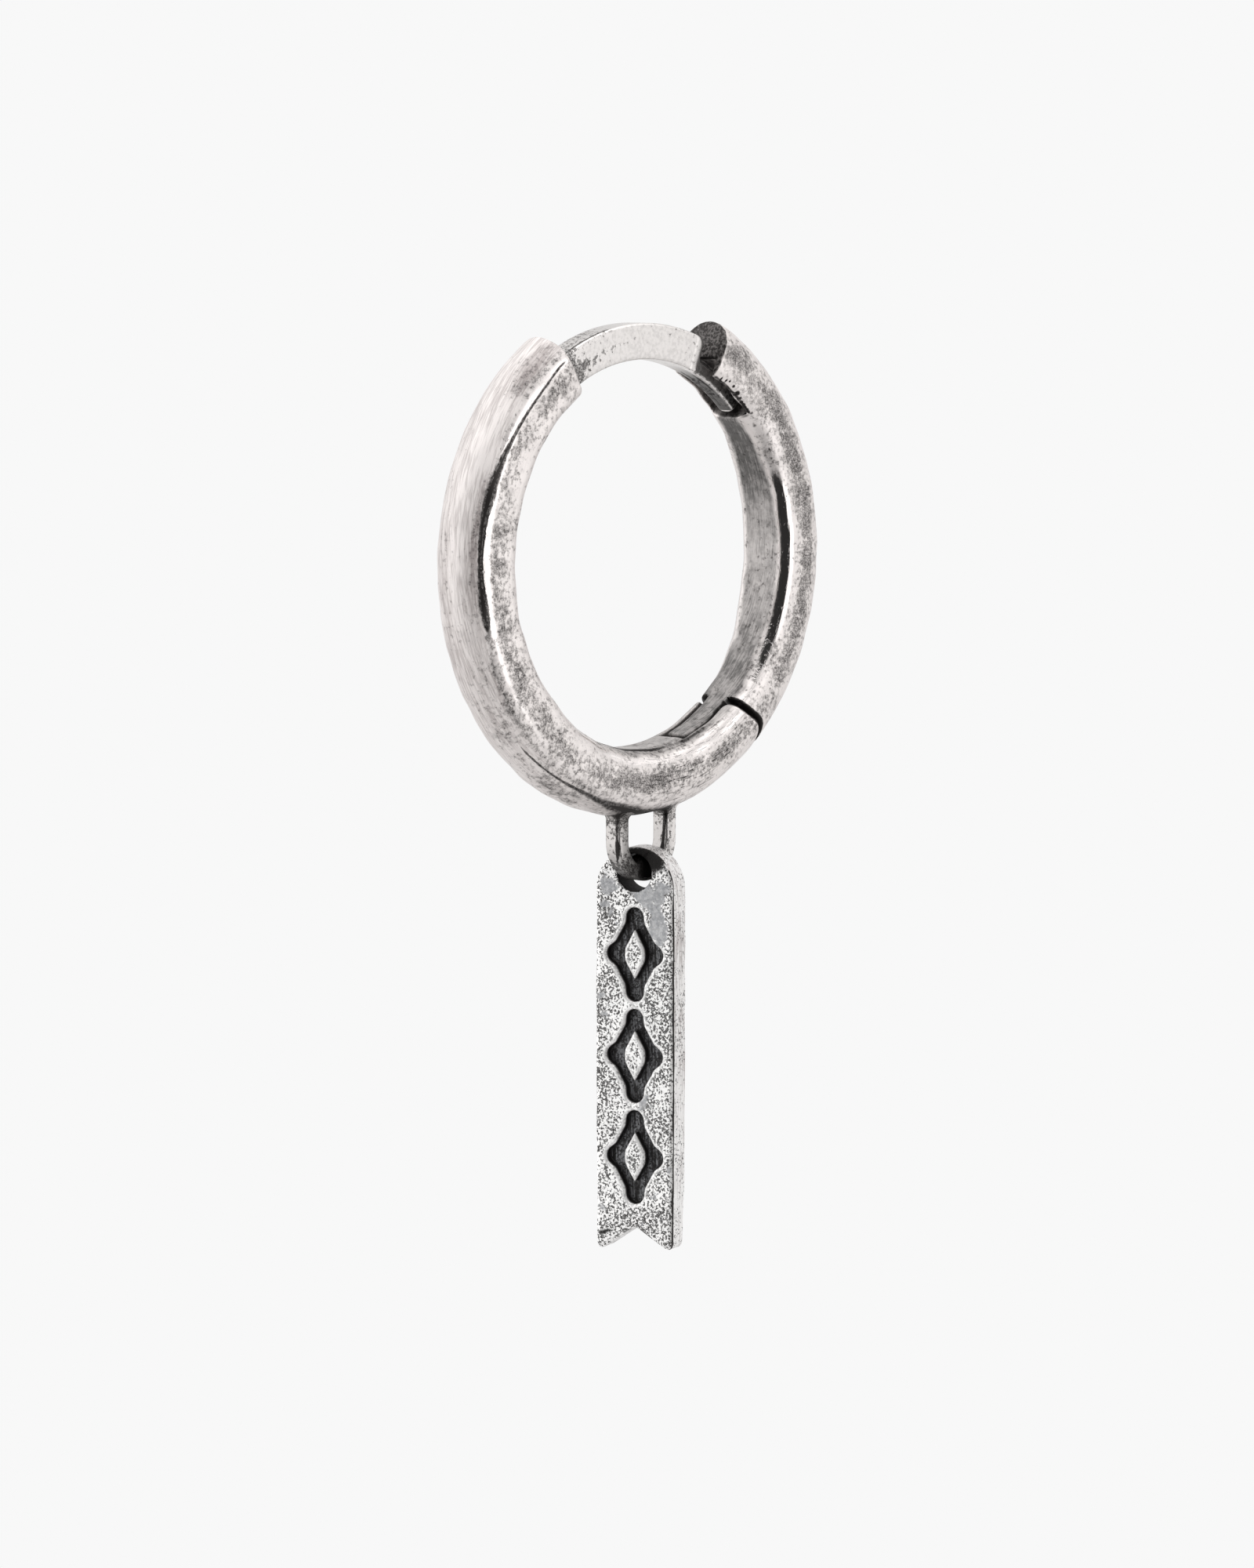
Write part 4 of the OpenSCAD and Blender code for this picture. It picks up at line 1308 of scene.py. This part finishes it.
finishes["drop_silver"] = drop_silver()
print(f"drop_silver: {len(finishes['drop_silver'].node_tree.nodes)} nodes")

# %% Give each piece its silver
for piece, name in ((arm, "hoop_silver"), (rear, "hoop_silver"), (post, "wire_silver"), (bail, "wire_silver"),
                    (frame["nodes"]["hinge_pin"], "wire_silver"), (plate, "drop_silver")):
    piece.data.materials.clear()
    piece.data.materials.append(finishes[name])
    print(f"{piece.name}: {name}")

# %% [markdown]
# ## Studio light
# Metal shows what is round it, so the light is a studio all round: a pale room, a wide soft box above,
# bright panels at the right and the left, weaker ones further round, and the dark part of the room round
# the camera, which gives the black bands on the polished edges. Only mirror-like rays see the dark part, so
# the matt silver stays pale.

# %% Studio
# The room's level, and the level of the plain wall and floor that the camera sees.
ROOM, PALE = 0.8, 0.9387
# Panels: turn, rise, half angle, soft edge and level. The dark part has the share of light that it takes.
PANELS = {"above": (0, 90, 40, 40, 0.9), "right": (17, 0, 22, 16, 0.8), "left": (-103, 0, 14, 14, 0.9),
          "high right": (58, 31, 14, 12, 0.35), "far left": (-140, 10, 32, 30, 0.5)}
DARK_PART = (-47, 3, 47, 6, 0.97)


def lobe(tree, direction, turn, rise, half_angle, soft, level):
    """Light of one level from within half_angle of a direction, fading over soft degrees: a smooth step on
    the cosine of the angle to it. The direction is given by its turn from -Y towards +X and its rise."""
    turn, rise = np.radians([turn, rise])
    toward = (np.sin(turn) * np.cos(rise), -np.cos(turn) * np.cos(rise), np.sin(rise))
    cosine = add(tree, "ShaderNodeVectorMath", {"operation": "DOT_PRODUCT"}, in_0=direction,
                 in_1=toward).outputs["Value"]
    outer, inner = np.cos(np.radians([half_angle + soft / 2, half_angle - soft / 2]))
    return ramp(tree, cosine, outer, inner, 0.0, level)


world = bpy.data.worlds.new("studio")
bpy.context.scene.world = world
world.use_nodes = True
tree = world.node_tree
direction = add(tree, "ShaderNodeTexCoord").outputs["Generated"]
light = ROOM
for panel in PANELS.values():
    light = calc(tree, "ADD", light, lobe(tree, direction, *panel))
path = add(tree, "ShaderNodeLightPath")
dark_room = times(tree, lobe(tree, direction, *DARK_PART), path.outputs["Is Glossy Ray"])
light = times(tree, light, less(tree, dark_room))
seen = path.outputs["Is Camera Ray"]
shown = calc(tree, "ADD", times(tree, light, less(tree, seen)), times(tree, seen, PALE))
tree.nodes["Background"].inputs["Color"].default_value = (1, 1, 1, 1)
tree.links.new(shown, tree.nodes["Background"].inputs["Strength"])
print(f"studio: {len(PANELS)} panels in a room of level {ROOM}")

# %% [markdown]
# ## The floor
# The earring hangs over a plain pale floor. A floor that only shines back what falls on it would show a
# horizon, so it glows softly in the wall's own tone. The metal doesn't see it: the studio light already has
# the room below the earring in it.

# %% Floor
FLOOR_Z, FLOOR_REACH = -34.0, 3000.0
mesh = bpy.data.meshes.new("floor")
corners = np.array([[-1, -1], [1, -1], [1, 1], [-1, 1]]) * FLOOR_REACH
mesh.from_pydata([(x * MM, y * MM, FLOOR_Z * MM) for x, y in corners], [], [(0, 1, 2, 3)])
floor = bpy.data.objects.new("floor", mesh)
bpy.context.scene.collection.objects.link(floor)
floor.visible_diffuse = floor.visible_glossy = floor.visible_shadow = False
material = bpy.data.materials.new("pale_floor")
material.use_nodes = True
tree = material.node_tree
tree.nodes.remove(tree.nodes["Principled BSDF"])
glow = add(tree, "ShaderNodeEmission", Color=(1, 1, 1, 1), Strength=PALE)
tree.links.new(glow.outputs[0], tree.nodes["Material Output"].inputs["Surface"])
mesh.materials.append(material)
print(f"the floor is {-FLOOR_Z:.0f} mm below the post")

# %% [markdown]
# ## Camera
# Fitted to the two edge circles of the hoop in the photograph: a long lens from the front left, a little
# above the earring and tilted down to it.

# %% Camera
# Its place in millimetres, its turn and tilt in degrees, and its lens and sensor in millimetres.
CAMERA = np.array([-111.26, -106.12, 4.47])
TURN, TILT = 46.299, 6.094
LENS, SENSOR = 131.35, 36
camera = bpy.data.objects.new("camera", bpy.data.cameras.new("camera"))
bpy.context.scene.collection.objects.link(camera)
camera.data.sensor_width = SENSOR
camera.data.lens = LENS
camera.data.clip_start = 0.01
camera.location = CAMERA * MM
camera.rotation_euler = (np.radians(90 - TILT), 0, -np.radians(TURN))
bpy.context.scene.camera = camera
bpy.context.scene.view_settings.view_transform = "Standard"
print(f"the camera stands {np.linalg.norm(CAMERA):.0f} mm away")
